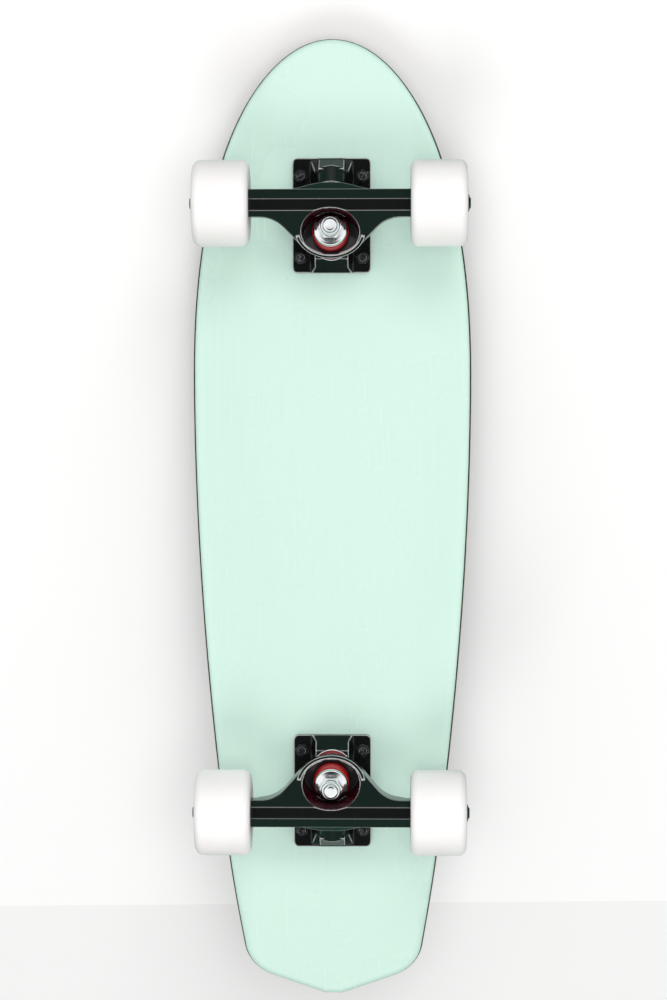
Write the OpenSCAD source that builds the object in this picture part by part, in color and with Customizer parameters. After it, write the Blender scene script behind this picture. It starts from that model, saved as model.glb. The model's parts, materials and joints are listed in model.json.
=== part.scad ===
// Skateboard: a short cruiser deck of seven maple plies on two cast trucks with
// four ball-bearing wheels. Units are mm.
// Frame: x along the board (nose +x), y across it, z up from the ground.
// The board stands on its wheels and the origin is under the middle of its length.
// Each truck is drawn on its own baseplate: x outward to the board's end,
// z from the deck's underside down to the road.

/* [Deck] */
// distance between the two truck centres
truck_span = 384.8; // [330:0.1:460]
// greatest deck half width
deck_half_w = 93.6; // [80:0.1:120]
// where the deck is widest, from midway between the trucks
wide_x = 84; // [0:1:120]
// nose tip of the underside, from midway between the trucks
nose_x = 312.7; // [280:0.1:340]
// power of the nose curve, 2 is an ellipse
nose_power = 2.2; // [1.8:0.05:3]
// how far the sides draw in over the reference run towards the tail
side_taper = 22.8; // [10:0.1:35]
// reference run of the side taper
side_run = 324; // [250:1:360]
// power of the side taper
side_power = 1.9; // [1.5:0.05:2.5]
// where the tail corners begin
tail_corner_x = -305.9; // [-330:0.5:-280]
// radius of the two tail corners
tail_corner_r = 29; // [10:0.5:50]
// slope of the tail's end edges
tail_edge_deg = 21; // [5:1:40]
// radius of the small point in the middle of the tail
tail_tip_r = 25; // [8:0.5:60]
// thickness of one maple ply
ply_t = 1.5; // [1.2:0.05:1.8]
// thickness of the grip sheet
grip_t = 0.8; // [0.5:0.1:1.5]
// rise of the deck's edges above its flat middle
concave = 4.5; // [0:0.1:10]
// half width of the flat middle band
flat_y = 34; // [10:0.5:60]
// start of the nose bend
nose_bend_x = 236; // [232:1:260]
// end angle of the nose bend
nose_deg = 11; // [0:0.5:25]
// radius of the nose bend
nose_bend_r = 241; // [80:1:400]
// start of the tail bend
tail_bend_x = -232; // [-260:1:-232]
// end angle of the kicktail
tail_deg = 19; // [5:0.5:30]
// radius of the tail bend
tail_bend_r = 150; // [80:1:400]
// radius of the rounded deck edge
edge_r = 4.5; // [0:0.1:5]
// radius of the shallow wheel wells
well_r = 215; // [100:1:400]
// depth of a wheel well at the deck's edge
well_depth = 2.4; // [0:0.1:2.9]
// where that depth is measured, from the board's middle plane
well_y = 80; // [60:1:90]
// how far inward from there a wheel well starts
well_reach = 33; // [20:1:40]

/* [Mounting bolts] */
// bolt spacing across the board
bolt_y = 41.3; // [38:0.1:45]
// bolt spacing along the board
bolt_x = 54; // [50:0.1:66]
// bolt shank diameter
bolt_d = 4.83; // [4:0.01:6]
// bolt hole diameter
bolt_hole_d = 5; // [4.9:0.05:6]
// bolt head diameter
bolt_head_d = 9.4; // [8:0.1:12]
// bolt head height
bolt_head_h = 2.9; // [2:0.1:4]
// bolt length
bolt_len = 25.4; // [24:0.1:35]
// lock nut width across flats
bolt_nut_af = 8; // [7:0.1:10]
// lock nut height
bolt_nut_h = 5; // [4:0.1:6]

/* [Baseplate] */
// baseplate length along the board
plate_l = 76.3; // [70:0.1:85]
// baseplate width
plate_w = 52; // [48:0.1:58]
// flange thickness
plate_t = 5; // [4:0.1:8]
// flange corner radius
plate_r = 3; // [1:0.1:8]
// flange centre, outward from the bolt centre
plate_shift = 1; // [-3:0.1:3]
// kingpin boss width
boss_w = 22.4; // [20:0.1:28]

/* [Kingpin] */
// kingpin base, outward from the bolt centre
kp_u = -19.7; // [-32:0.1:-15]
// outward lean of the kingpin
kp_deg = 13; // [0:0.5:35]
// kingpin diameter
kp_d = 9.5; // [8:0.1:11]
// start and end of the kingpin head along its axis
kp_head_s = [2.6, 7.6];
// end of the kingpin along its axis
kp_end_s = 57;
// kingpin head and nut width across flats
kp_af = 14; // [12:0.1:17]
// top of the boss along the kingpin
boss_s = 11.5;
// bushing diameter
bushing_d = 24; // [20:0.1:26]
// road-side cup washer diameter
cup_d = 22.8; // [18:0.1:25]
// deck-side cup washer diameter
board_cup_d = 26; // [18:0.1:28]
// cup washer sheet thickness
cup_t = 2;
// both faces of the hanger's ring along the kingpin
ring_s = [27.5, 33.5];
// outer end of the road bushing along the kingpin
road_s = 44.5;
// kingpin nut height
kp_nut_h = 8;

/* [Hanger] */
// axle centre, outward from the bolt centre
axle_u = 6.8; // [0:0.1:15]
// axle centre below the deck's underside
axle_h = 51.5; // [45:0.1:60]
// hanger half length
hanger_y = 57.5; // [45:0.1:70]
// half width of the hanger's bar
bar_half = 9.1; // [7:0.1:12]
// pivot socket mouth, outward and below the deck
pivot_uw = [17.3, 13];
// pivot radius
pivot_r = 6; // [5:0.1:8]
// running clearance of the pivot in its cup
pivot_gap = 0.05;
// pivot cup outside radius
pivot_cup_r = 8.3;

/* [Wheels] */
// wheel diameter
wheel_d = 56; // [50:0.5:75]
// wheel width
wheel_w = 36.6; // [28:0.1:50]
// wheel lip radius
lip_r = 5.5; // [2:0.1:10]
// wheel centre from the board's middle plane
wheel_y = 70.5; // [60:0.1:85]
// axle diameter
axle_d = 8; // [7:0.1:9]
// axle half length
axle_half = 91; // [85:0.1:100]
// bearing outside diameter
bearing_od = 22;
// bearing width
bearing_w = 7;
// spacer length between the bearings
spacer_l = 10;
// ball diameter
ball_d = 3.969;
// ball circle diameter
ball_circle = 15;
// balls in one bearing
ball_n = 7;
// speed washer thickness
washer_t = 1;

/* [Hidden] */
$fn = 64;

deck_z = wheel_d / 2 + axle_h;
deck_t = 7 * ply_t;

// steering axis: from the middle of the ring to the pivot
ring_mid_s = (ring_s[0] + ring_s[1]) / 2;
ring_u = kp_u + ring_mid_s * sin(kp_deg);
ring_w = ring_mid_s * cos(kp_deg);
steer_deg = atan2(ring_w - pivot_uw[1], pivot_uw[0] - ring_u);

// ---- deck outline and surface ----

function side_half(x) = deck_half_w - side_taper * pow(abs(wide_x - x) / side_run, side_power);
function side_slope(x) = side_taper * side_power / side_run * pow((wide_x - x) / side_run, side_power - 1);
function nose_half(x) = deck_half_w * sqrt(max(0, 1 - pow((x - wide_x) / (nose_x - wide_x), nose_power)));

corner_turn = atan(side_slope(tail_corner_x));
corner_cx = tail_corner_x + tail_corner_r * sin(corner_turn);
corner_cy = side_half(tail_corner_x) - tail_corner_r * cos(corner_turn);
edge_px = corner_cx - tail_corner_r * cos(tail_edge_deg);
edge_py = corner_cy + tail_corner_r * sin(tail_edge_deg);
tip_cx = edge_px + (tail_tip_r - sin(tail_edge_deg) * edge_py) / cos(tail_edge_deg);
tip_qx = tip_cx - tail_tip_r * cos(tail_edge_deg);
tail_x = tip_cx - tail_tip_r;

// blunt ends: a few mm across, so the plies have no sharp point
nose_end = nose_x - 0.15;
tail_end = tail_x + 0.4;
// middle of the board's length, measured from midway between the trucks
mid_offset = (nose_end - edge_r * sin(nose_deg) + tail_end + edge_r * sin(tail_deg)) / 2;
front_x = truck_span / 2 - mid_offset;
rear_x = -truck_span / 2 - mid_offset;

function tail_half(x) =
    x > edge_px ? corner_cy + sqrt(max(0, pow(tail_corner_r, 2) - pow(x - corner_cx, 2))) :
    x > tip_qx ? edge_py - (edge_px - x) / tan(tail_edge_deg) :
    sqrt(max(0, pow(tail_tip_r, 2) - pow(x - tip_cx, 2)));
function half_w(x) = x > wide_x ? nose_half(x) : x > tail_corner_x ? side_half(x) : tail_half(x);

// rise of the underside along the board, and its slope angle
function bend_rise(d, r, a) = d <= 0 ? 0 :
    d < r * sin(a) ? r - sqrt(r * r - d * d) : r * (1 - cos(a)) + (d - r * sin(a)) * tan(a);
function bend_turn(d, r, a) = d <= 0 ? 0 : d < r * sin(a) ? asin(d / r) : a;
function rise(x) = bend_rise(x - nose_bend_x, nose_bend_r, nose_deg)
    + bend_rise(tail_bend_x - x, tail_bend_r, tail_deg);
function turn(x) = bend_turn(x - nose_bend_x, nose_bend_r, nose_deg)
    - bend_turn(tail_bend_x - x, tail_bend_r, tail_deg);
// the concave fades towards both tips
function dish(x) = concave * (1 - 0.6 * pow(min(1, max(0, (abs(x) - 180) / 150)), 2));
function dish_at(x, y) = dish(x) * pow(max(0, abs(y) - flat_y) / (deck_half_w - flat_y), 2);

across = [-1, -0.9, -0.78, -0.65, -0.51, -0.37, 0.37, 0.51, 0.65, 0.78, 0.9, 1];
stations = concat(
    [for (i = [0 : 4]) tail_end + (tip_qx - tail_end) * pow(i / 5, 1.6)],
    [for (i = [0 : 2]) tip_qx + (edge_px - tip_qx) * i / 3],
    [for (i = [0 : 7]) edge_px + (tail_corner_x - edge_px) * pow(i / 8, 1.7)],
    [for (i = [0 : 6]) tail_corner_x + (tail_bend_x - tail_corner_x) * i / 7],
    [for (i = [0 : 7]) tail_bend_x + (wide_x - tail_bend_x) * i / 8],
    [for (i = [0 : 3]) wide_x + (nose_bend_x - wide_x) * i / 4],
    [for (i = [0 : 13]) nose_bend_x + (nose_end - nose_bend_x) * (1 - pow(1 - i / 13, 2))]);

// the edge is rounded through all the plies: how far it draws in at a height
function edge_in(d) =
    let (e = edge_r - min(edge_r, d, deck_t + grip_t - d))
    edge_r - sqrt(edge_r * edge_r - e * e);
// outline direction, and the outline drawn in by e
function outline_slope(x) = (half_w(x + 0.05) - half_w(x - 0.05)) / 0.1;
function drawn_x(x, e) = x + e * outline_slope(x) / norm([1, outline_slope(x)]);
function drawn_half(x, e) = half_w(x) - e / norm([1, outline_slope(x)]);

function skin_point(x, s, d) =
    let (e = edge_in(d), px = drawn_x(x, e), y = s * drawn_half(x, e)) [
        px - mid_offset - d * sin(turn(px)),
        y,
        deck_z + rise(px) + dish_at(px, y) + d * cos(turn(px))];

// one ply between two heights above the underside
module ply(d0, d1, hole_d) {
    nx = len(stations);
    ny = len(across);
    pts = [for (d = [d0, d1]) for (x = stations) for (s = across) skin_point(x, s, d)];
    top = nx * ny;
    quads = concat(
        [for (i = [0 : nx - 2]) for (j = [0 : ny - 2])
            [i * ny + j, (i + 1) * ny + j, (i + 1) * ny + j + 1, i * ny + j + 1]],
        [for (i = [0 : nx - 2]) for (j = [0 : ny - 2])
            [top + i * ny + j, top + i * ny + j + 1, top + (i + 1) * ny + j + 1, top + (i + 1) * ny + j]],
        [for (i = [0 : nx - 2]) [i * ny, top + i * ny, top + (i + 1) * ny, (i + 1) * ny]],
        [for (i = [0 : nx - 2])
            [i * ny + ny - 1, (i + 1) * ny + ny - 1, top + (i + 1) * ny + ny - 1, top + i * ny + ny - 1]],
        [for (j = [0 : ny - 2]) [j, j + 1, top + j + 1, top + j]],
        [for (j = [0 : ny - 2]) [(nx - 1) * ny + j, top + (nx - 1) * ny + j,
            top + (nx - 1) * ny + j + 1, (nx - 1) * ny + j + 1]]);
    tris = [for (q = quads) for (t = [[q[0], q[1], q[2]], [q[0], q[2], q[3]]]) t];
    difference() {
        polyhedron(points = pts, faces = tris);
        at_bolts() translate([0, 0, deck_z - 5]) cylinder(h = 30, d = hole_d);
    }
}

// a place for every mounting bolt
module at_bolts() {
    for (tx = [front_x, rear_x])
        for (bx = [-1, 1])
            for (by = [-1, 1])
                translate([tx + bx * bolt_x / 2, by * bolt_y / 2, 0])
                    children();
}

// shallow round scoops over the wheels, deepest at the deck's edge
module wells() {
    edge_z = dish_at(0, well_y) + well_depth;
    tilt = atan(edge_z / well_reach);
    for (tx = [front_x + axle_u, rear_x - axle_u])
        for (sy = [-1, 1])
            translate([tx, sy * (well_y - 13), deck_z + edge_z * (1 - 13 / well_reach)])
                rotate([sy * tilt, 0, 0])
                    rotate([90, 0, 0])
                        linear_extrude(height = 80, center = true)
                            polygon(concat([[-well_r * sin(15), -30]],
                                [for (a = [-15 : 2.5 : 15]) [well_r * sin(a), well_r * (cos(a) - 1)]],
                                [[well_r * sin(15), -30]]));
}

module deck_bottom_ply() {
    color("#d6f4e8")
        difference() {
            ply(0, ply_t, bolt_hole_d);
            wells();
        }
}

module deck_dyed_ply() {
    color("#2b2a29")
        difference() {
            ply(ply_t, 2 * ply_t, bolt_hole_d);
            wells();
        }
}

module deck_ply_3() {
    color("#d9b98b") ply(2 * ply_t, 3 * ply_t, bolt_hole_d);
}

module deck_ply_4() {
    color("#c9a474") ply(3 * ply_t, 4 * ply_t, bolt_hole_d);
}

module deck_ply_5() {
    color("#d9b98b") ply(4 * ply_t, 5 * ply_t, bolt_hole_d);
}

module deck_ply_6() {
    color("#c9a474")
        difference() {
            ply(5 * ply_t, 6 * ply_t, bolt_hole_d);
            at_bolts() bolt_sink();
        }
}

module deck_top_ply() {
    color("#d9b98b")
        difference() {
            ply(6 * ply_t, 7 * ply_t, bolt_hole_d);
            at_bolts() bolt_sink();
        }
}

module grip_tape() {
    color("#1d1d1f")
        ply(7 * ply_t, 7 * ply_t + grip_t, bolt_head_d);
}

// countersink for one bolt head
module bolt_sink() {
    translate([0, 0, deck_z + deck_t + grip_t - bolt_head_h])
        cylinder(h = bolt_head_h, d1 = bolt_d, d2 = bolt_head_d, $fn = 48);
}

// ---- mounting bolts ----

module mounting_bolts() {
    top = deck_z + deck_t + grip_t;
    color("#3a3b3d")
        at_bolts()
            difference() {
                union() {
                    translate([0, 0, top - bolt_len]) cylinder(h = bolt_len - 0.2, d = bolt_d);
                    bolt_sink();
                }
                for (a = [0, 90])
                    rotate([0, 0, a])
                        translate([-2.6, -0.5, top - 1.6])
                            cube([5.2, 1, 2]);
            }
}

module mounting_nuts() {
    color("#2f3032")
        at_bolts()
            translate([0, 0, deck_z - plate_t - bolt_nut_h])
                difference() {
                    union() {
                        translate([0, 0, 1.4])
                            cylinder(h = bolt_nut_h - 1.4, d = bolt_nut_af / cos(30), $fn = 6);
                        cylinder(h = bolt_nut_h - 1.4, d = bolt_nut_af - 0.3);
                    }
                    translate([0, 0, -1]) cylinder(h = bolt_nut_h + 2, d = bolt_d);
                }
}

// ---- truck helpers: x outward, z from the deck's underside to the road ----

module at_front() {
    translate([front_x, 0, deck_z]) rotate([180, 0, 0]) children();
}

module at_rear() {
    translate([rear_x, 0, deck_z]) rotate([0, 180, 0]) children();
}

// along the kingpin, from the deck's underside
module on_kingpin(s = 0) {
    translate([kp_u, 0, 0]) rotate([0, kp_deg, 0]) translate([0, 0, s]) children();
}

// along the steering axis, from the socket mouth outward and towards the deck
module on_pivot(t = 0) {
    translate([pivot_uw[0], 0, pivot_uw[1]]) rotate([0, 90 + steer_deg, 0]) translate([0, 0, t]) children();
}

// a side profile in x and z made w wide across the board
module side_slab(w, pts) {
    rotate([90, 0, 0]) translate([0, 0, -w / 2]) linear_extrude(height = w) polygon(pts);
}

// a rounded rectangle
module pad(l, w, r) {
    square([l - 2 * r, w], center = true);
    square([l, w - 2 * r], center = true);
    for (sx = [-1, 1])
        for (sy = [-1, 1])
            translate([sx * (l / 2 - r), sy * (w / 2 - r)]) circle(r = r);
}

// ---- baseplate side of a truck ----

// keeps what lies inside a block with sloping flanks, which end at half width w and height h
module flanked(w, h) {
    intersection() {
        children();
        rotate([90, 0, 90])
            translate([0, 0, -60])
                linear_extrude(height = 120)
                    polygon([[-13.7, 0], [-13.7, 5.3], [-w, h], [-w, 40], [w, 40], [w, h], [13.7, 5.3], [13.7, 0]]);
    }
}

module baseplate() {
    boss_far = [kp_u + boss_s * sin(kp_deg) + 11 * cos(kp_deg), boss_s * cos(kp_deg) - 11 * sin(kp_deg)];
    boss_near = [kp_u + boss_s * sin(kp_deg) - 11 * cos(kp_deg), boss_s * cos(kp_deg) + 11 * sin(kp_deg)];
    mouth = [sin(steer_deg), cos(steer_deg)];
    difference() {
        union() {
            translate([plate_shift, 0, 0]) linear_extrude(height = plate_t) pad(plate_l, plate_w, plate_r);
            flanked(boss_w / 2, 8.4)
                side_slab(30, [[-37, 0], [-37, 5.6], boss_near, boss_far, [-3, 5], [-3, 0]]);
            flanked(10.7, 9.8)
                side_slab(30, [[11, 0], [11, 4], [17, 9.8], [30, 9.2], [38, 4.6], [38, 0]]);
            side_slab(21.4, [[pivot_uw[0] - mouth[0] * pivot_uw[1] / mouth[1], 0], pivot_uw,
                [29.5, 7.2], [38.4, 4], [38.4, 0]]);
            side_slab(17, [[20, 4], [31.4, 16.4], [38.4, 5.3], [38.4, 4]]);
            intersection() {
                on_pivot(0) cylinder(h = 13, r = 10.7);
                translate([0, -20, 0]) cube([38.4, 40, 40]);
            }
        }
        on_kingpin(-8) cylinder(h = kp_head_s[1] + 8, d = kp_af / cos(30) + 0.6);
        on_kingpin(-8) cylinder(h = 40, d = kp_d + 0.1);
        on_pivot(-6) cylinder(h = 17, r = pivot_cup_r);
        for (bx = [-1, 1])
            for (by = [-1, 1])
                translate([bx * bolt_x / 2, by * bolt_y / 2, -1]) cylinder(h = 20, d = bolt_hole_d);
        translate([0, 0, -30]) cube([100, 80, 60], center = true);
    }
}

module pivot_cup() {
    difference() {
        on_pivot(0) cylinder(h = 11, r = pivot_cup_r);
        on_pivot(-1) cylinder(h = 3.5, r = pivot_r + pivot_gap);
        on_pivot(2.5) sphere(r = pivot_r + pivot_gap);
    }
}

module kingpin() {
    on_kingpin(0)
        union() {
            translate([0, 0, kp_head_s[0]])
                cylinder(h = kp_head_s[1] - kp_head_s[0], d = kp_af / cos(30), $fn = 6);
            translate([0, 0, 4]) cylinder(h = kp_end_s - 5, d = kp_d);
            translate([0, 0, kp_end_s - 1]) cylinder(h = 1, d1 = kp_d, d2 = kp_d - 1.6);
        }
}

// a cup washer with its rim towards the bushing
module cup_washer(d) {
    difference() {
        cylinder(h = cup_t + 1.2, d = d);
        translate([0, 0, cup_t]) cylinder(h = 5, d = d - 1.6);
        translate([0, 0, -1]) cylinder(h = 9, d = kp_d);
    }
}

module bushing(h, rim) {
    difference() {
        rotate_extrude() {
            translate([kp_d / 2, 0]) square([bushing_d / 2 - kp_d / 2 - rim, h]);
            translate([kp_d / 2, rim]) square([bushing_d / 2 - kp_d / 2, h - 2 * rim]);
            for (z = [rim, h - rim])
                translate([bushing_d / 2 - rim, z]) circle(r = rim);
        }
    }
}

module board_cup_washer() {
    on_kingpin(boss_s) cup_washer(board_cup_d);
}

module board_bushing() {
    on_kingpin(boss_s + cup_t)
        intersection() {
            bushing(ring_s[0] - boss_s - cup_t, 2);
            union() {
                cylinder(h = 1.3, d = board_cup_d - 1.8);
                translate([0, 0, 1.3]) cylinder(h = 40, d = bushing_d);
            }
        }
}

module road_bushing() {
    on_kingpin(ring_s[1])
        intersection() {
            bushing(road_s - ring_s[1], 2);
            union() {
                cylinder(h = road_s - ring_s[1] - 1.3, d = bushing_d);
                cylinder(h = 40, d = cup_d - 1.8);
            }
        }
}

module road_cup_washer() {
    on_kingpin(road_s + cup_t) mirror([0, 0, 1]) cup_washer(cup_d);
}

module kingpin_nut() {
    on_kingpin(road_s + cup_t)
        difference() {
            union() {
                cylinder(h = kp_nut_h - 2.4, d = kp_af / cos(30), $fn = 6);
                cylinder(h = kp_nut_h, d = kp_af - 1);
            }
            translate([0, 0, -1]) cylinder(h = 20, d = kp_d);
        }
}

// ---- hanger ----

// plan of the hanger's yoke: straight bar, hollow flare and round nose
module yoke_plan() {
    lip_u = -28.4;
    nose_r = 26;
    flare_r = 21;
    bar_in = axle_u - bar_half;
    // 45 degree side line: y - u = side_c
    side_c = nose_r * sqrt(2) - (lip_u + nose_r);
    flare_y = side_c + bar_in + flare_r * tan(22.5);
    right = concat(
        [[axle_u + bar_half, 26.5], [17.2, 21.5], [19, 15], [20.5, 9], [20.9, 6]],
        [[20.9, -6], [20.5, -9], [19, -15], [17.2, -21.5], [axle_u + bar_half, -26.5]],
        [[axle_u + bar_half, -hanger_y]],
        [[bar_in, -hanger_y]],
        [for (a = [0 : 7.5 : 45]) [bar_in - flare_r + flare_r * cos(a), -flare_y + flare_r * sin(a)]],
        [for (a = [-45 : 7.5 : 45]) [lip_u + nose_r - nose_r * cos(a), nose_r * sin(a)]],
        [for (a = [45 : -7.5 : 0]) [bar_in - flare_r + flare_r * cos(a), flare_y - flare_r * sin(a)]],
        [[bar_in, hanger_y], [axle_u + bar_half, hanger_y]]);
    polygon(right);
}

module hanger() {
    b = bar_half;
    top = axle_h + b;
    difference() {
        union() {
            // bar around the axle
            translate([axle_u, 0, axle_h])
                side_slab(2 * hanger_y, [[2.5, b], [b, 4], [b, -4], [4, -b], [-4, -b], [-b, -4], [-b, 4], [-5.1, b]]);
            // yoke: plan, side and front profiles together
            intersection() {
                linear_extrude(height = 70) yoke_plan();
                side_slab(130, [[axle_u - 5.1, top], [-28.4, 32.8], [-29.2, 28.4], [-14, 23], [2, 18], [10, 15],
                    [16.5, 20.2], [20.9, 36], [20.9, 42], [axle_u + b, axle_h - 3], [axle_u + b, axle_h + 4],
                    [axle_u + 2.5, top]]);
                rotate([90, 0, 90])
                    translate([0, 0, -60])
                        linear_extrude(height = 120)
                            polygon([[-60, 70], [-60, 47.5], [-50, 47.5], [-46, 43], [-30, 36], [-19, 24], [-11, 15],
                                [11, 15], [19, 24], [30, 36], [46, 43], [50, 47.5], [60, 47.5], [60, 70]]);
            }
            // ring around the kingpin
            on_kingpin(ring_s[0] - 3.5) cylinder(h = ring_s[1] - ring_s[0] + 3.5, r = 14.6);
            // raised rib around the ring's inner lip
            rib();
            // nose of the pivot
            on_pivot(-17) cylinder(h = 13, r1 = 11.5, r2 = pivot_r);
            on_pivot(-6) cylinder(h = 8.5, r = pivot_r);
            on_pivot(2.5) sphere(r = pivot_r);
        }
        // kingpin hole with room to swing
        on_kingpin(10) cylinder(h = 40, r = 7);
        // seat of the board bushing
        on_kingpin(ring_s[0] - 12) cylinder(h = 12, r = 12.7);
        // bowl of the road bushing
        on_kingpin(ring_s[1]) cylinder(h = 13.4, r = 12.9);
        // room for the cup washer as the hanger swings
        on_kingpin(road_s - 4.5) cylinder(h = 9.5, r = 14.6);
        bowl();
        translate([axle_u, 0, axle_h]) rotate([90, 0, 0]) cylinder(h = 130, d = axle_d, center = true);
    }
}

// oval opening above the ring's seat, leaning clear of the axle
module bowl() {
    intersection() {
        translate([-12.2, 0, 42])
            rotate([0, 7, 0])
                translate([0, 0, -20])
                    linear_extrude(height = 60)
                        polygon([for (a = [0 : 9 : 351]) [13.2 * cos(a), 18.7 * sin(a)]]);
        on_kingpin(ring_s[1]) cylinder(h = 60, r = 40);
    }
}

module rib() {
    slope = atan((axle_h + bar_half - 32.8) / (axle_u - 5.1 + 28.4));
    translate([-28.4, 0, 32.8])
        rotate([0, -slope, 0])
            translate([24, 0, -0.4])
                for (a = [118 : 6.2 : 242 - 6.2])
                    rotate([0, 0, a])
                        translate([20.6, 0, 0])
                            rotate([0, 0, 3.1])
                                translate([-0.7, 0, 0])
                                    cube([1.4, 2.35, 1]);
}

module axle() {
    translate([axle_u, 0, axle_h])
        rotate([90, 0, 0])
            union() {
                cylinder(h = 2 * axle_half - 2, d = axle_d, center = true);
                for (m = [0, 1])
                    mirror([0, 0, m])
                        translate([0, 0, axle_half - 1])
                            cylinder(h = 1, d1 = axle_d, d2 = axle_d - 1.6);
            }
}

// ---- on the axle: z outward from the board's middle plane ----

module on_axle(sy, z = 0) {
    translate([axle_u, 0, axle_h]) rotate([-sy * 90, 0, 0]) translate([0, 0, z]) children();
}

bearing_in = wheel_y - spacer_l / 2 - bearing_w;
bearing_out = wheel_y + spacer_l / 2;

module tube(h, od, id) {
    difference() {
        cylinder(h = h, d = od);
        translate([0, 0, -1]) cylinder(h = h + 2, d = id);
    }
}

// both bearings of one wheel
module at_bearings() {
    for (z = [bearing_in, bearing_out]) translate([0, 0, z + bearing_w / 2]) children();
}

// groove for the balls
module race() {
    rotate_extrude() translate([ball_circle / 2, 0]) circle(d = ball_d + 0.12);
}

module inner_rings() {
    for (sy = [-1, 1])
        on_axle(sy)
            at_bearings()
                difference() {
                    translate([0, 0, -bearing_w / 2]) tube(bearing_w, 12.1, axle_d);
                    race();
                }
}

module outer_rings(sy) {
    on_axle(sy)
        at_bearings()
            difference() {
                translate([0, 0, -bearing_w / 2]) tube(bearing_w, bearing_od, 17.9);
                race();
            }
}

module shields(sy) {
    on_axle(sy)
        at_bearings()
            for (m = [0, 1])
                mirror([0, 0, m]) translate([0, 0, 2.9]) tube(0.4, 17.9, 12.9);
}

module balls(sy) {
    on_axle(sy)
        at_bearings()
            for (i = [0 : ball_n - 1])
                rotate([0, 0, i * 360 / ball_n]) translate([ball_circle / 2, 0, 0]) sphere(d = ball_d, $fn = 32);
}

module cages(sy) {
    on_axle(sy)
        at_bearings()
            difference() {
                translate([0, 0, -2.5]) tube(5, 16.9, 13.1);
                for (i = [0 : ball_n - 1])
                    rotate([0, 0, i * 360 / ball_n])
                        translate([ball_circle / 2 - 3, 0, 0])
                            rotate([0, 90, 0])
                                cylinder(h = 6, d = ball_d + 0.13, $fn = 32);
            }
}

module bearing_spacers() {
    for (sy = [-1, 1])
        on_axle(sy, bearing_in + bearing_w) tube(spacer_l, 10.6, axle_d);
}

module speed_washers() {
    for (sy = [-1, 1])
        on_axle(sy)
            for (z = [bearing_in - washer_t, bearing_out + bearing_w])
                translate([0, 0, z]) tube(washer_t, 11.6, axle_d);
}

module axle_nuts() {
    for (sy = [-1, 1])
        on_axle(sy, bearing_out + bearing_w + washer_t)
            difference() {
                union() {
                    cylinder(h = 4.6, d = 12.7 / cos(30), $fn = 6);
                    cylinder(h = 6.6, d = 11.6);
                }
                translate([0, 0, -1]) cylinder(h = 12, d = axle_d);
            }
}

module wheel(sy) {
    r = wheel_d / 2;
    h = wheel_w / 2;
    seat = spacer_l / 2;
    out = seat + bearing_w;
    on_axle(sy, wheel_y)
        difference() {
            rotate_extrude($fn = 120) {
                translate([9.6, -h]) square([r - lip_r - 9.6, 2 * h]);
                translate([9.6, -h + lip_r]) square([r - 9.6, 2 * h - 2 * lip_r]);
                for (z = [-h + lip_r, h - lip_r])
                    translate([r - lip_r, z]) circle(r = lip_r);
            }
            for (m = [0, 1])
                mirror([0, 0, m]) {
                    translate([0, 0, seat]) cylinder(h = bearing_w, d = bearing_od);
                    translate([0, 0, out - 0.01]) cylinder(h = h - out + 0.02, d1 = bearing_od + 0.6, d2 = 33);
                }
        }
}

// ---- front truck ----

module front_baseplate() {
    color("#1c1d1f") at_front() baseplate();
}

module front_pivot_cup() {
    color("#101011") at_front() pivot_cup();
}

module front_kingpin() {
    color("#c9ccd0") at_front() kingpin();
}

module front_board_cup_washer() {
    color("#c9ccd0") at_front() board_cup_washer();
}

module front_board_bushing() {
    color("#b3121b") at_front() board_bushing();
}

module front_road_bushing() {
    color("#b3121b") at_front() road_bushing();
}

module front_road_cup_washer() {
    color("#c9ccd0") at_front() road_cup_washer();
}

module front_kingpin_nut() {
    color("#c9ccd0") at_front() kingpin_nut();
}

module front_hanger() {
    color("#1c1d1f") at_front() hanger();
}

module front_axle() {
    color("#55585c") at_front() axle();
}

module front_inner_rings() {
    color("#b9bcc0") at_front() inner_rings();
}

module front_bearing_spacers() {
    color("#9fa3a8") at_front() bearing_spacers();
}

module front_speed_washers() {
    color("#8f9398") at_front() speed_washers();
}

module front_axle_nuts() {
    color("#2b2c2e") at_front() axle_nuts();
}

// ---- rear truck ----

module rear_baseplate() {
    color("#1c1d1f") at_rear() baseplate();
}

module rear_pivot_cup() {
    color("#101011") at_rear() pivot_cup();
}

module rear_kingpin() {
    color("#c9ccd0") at_rear() kingpin();
}

module rear_board_cup_washer() {
    color("#c9ccd0") at_rear() board_cup_washer();
}

module rear_board_bushing() {
    color("#b3121b") at_rear() board_bushing();
}

module rear_road_bushing() {
    color("#b3121b") at_rear() road_bushing();
}

module rear_road_cup_washer() {
    color("#c9ccd0") at_rear() road_cup_washer();
}

module rear_kingpin_nut() {
    color("#c9ccd0") at_rear() kingpin_nut();
}

module rear_hanger() {
    color("#1c1d1f") at_rear() hanger();
}

module rear_axle() {
    color("#55585c") at_rear() axle();
}

module rear_inner_rings() {
    color("#b9bcc0") at_rear() inner_rings();
}

module rear_bearing_spacers() {
    color("#9fa3a8") at_rear() bearing_spacers();
}

module rear_speed_washers() {
    color("#8f9398") at_rear() speed_washers();
}

module rear_axle_nuts() {
    color("#2b2c2e") at_rear() axle_nuts();
}

// ---- wheels: front left, front right, rear left, rear right ----

module wheel_fl() {
    color("#f4f1ee") at_front() wheel(-1);
}

module wheel_fr() {
    color("#f4f1ee") at_front() wheel(1);
}

module wheel_rl() {
    color("#f4f1ee") at_rear() wheel(1);
}

module wheel_rr() {
    color("#f4f1ee") at_rear() wheel(-1);
}

module outer_rings_fl() {
    color("#b9bcc0") at_front() outer_rings(-1);
}

module outer_rings_fr() {
    color("#b9bcc0") at_front() outer_rings(1);
}

module outer_rings_rl() {
    color("#b9bcc0") at_rear() outer_rings(1);
}

module outer_rings_rr() {
    color("#b9bcc0") at_rear() outer_rings(-1);
}

module shields_fl() {
    color("#9a9da2") at_front() shields(-1);
}

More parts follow.
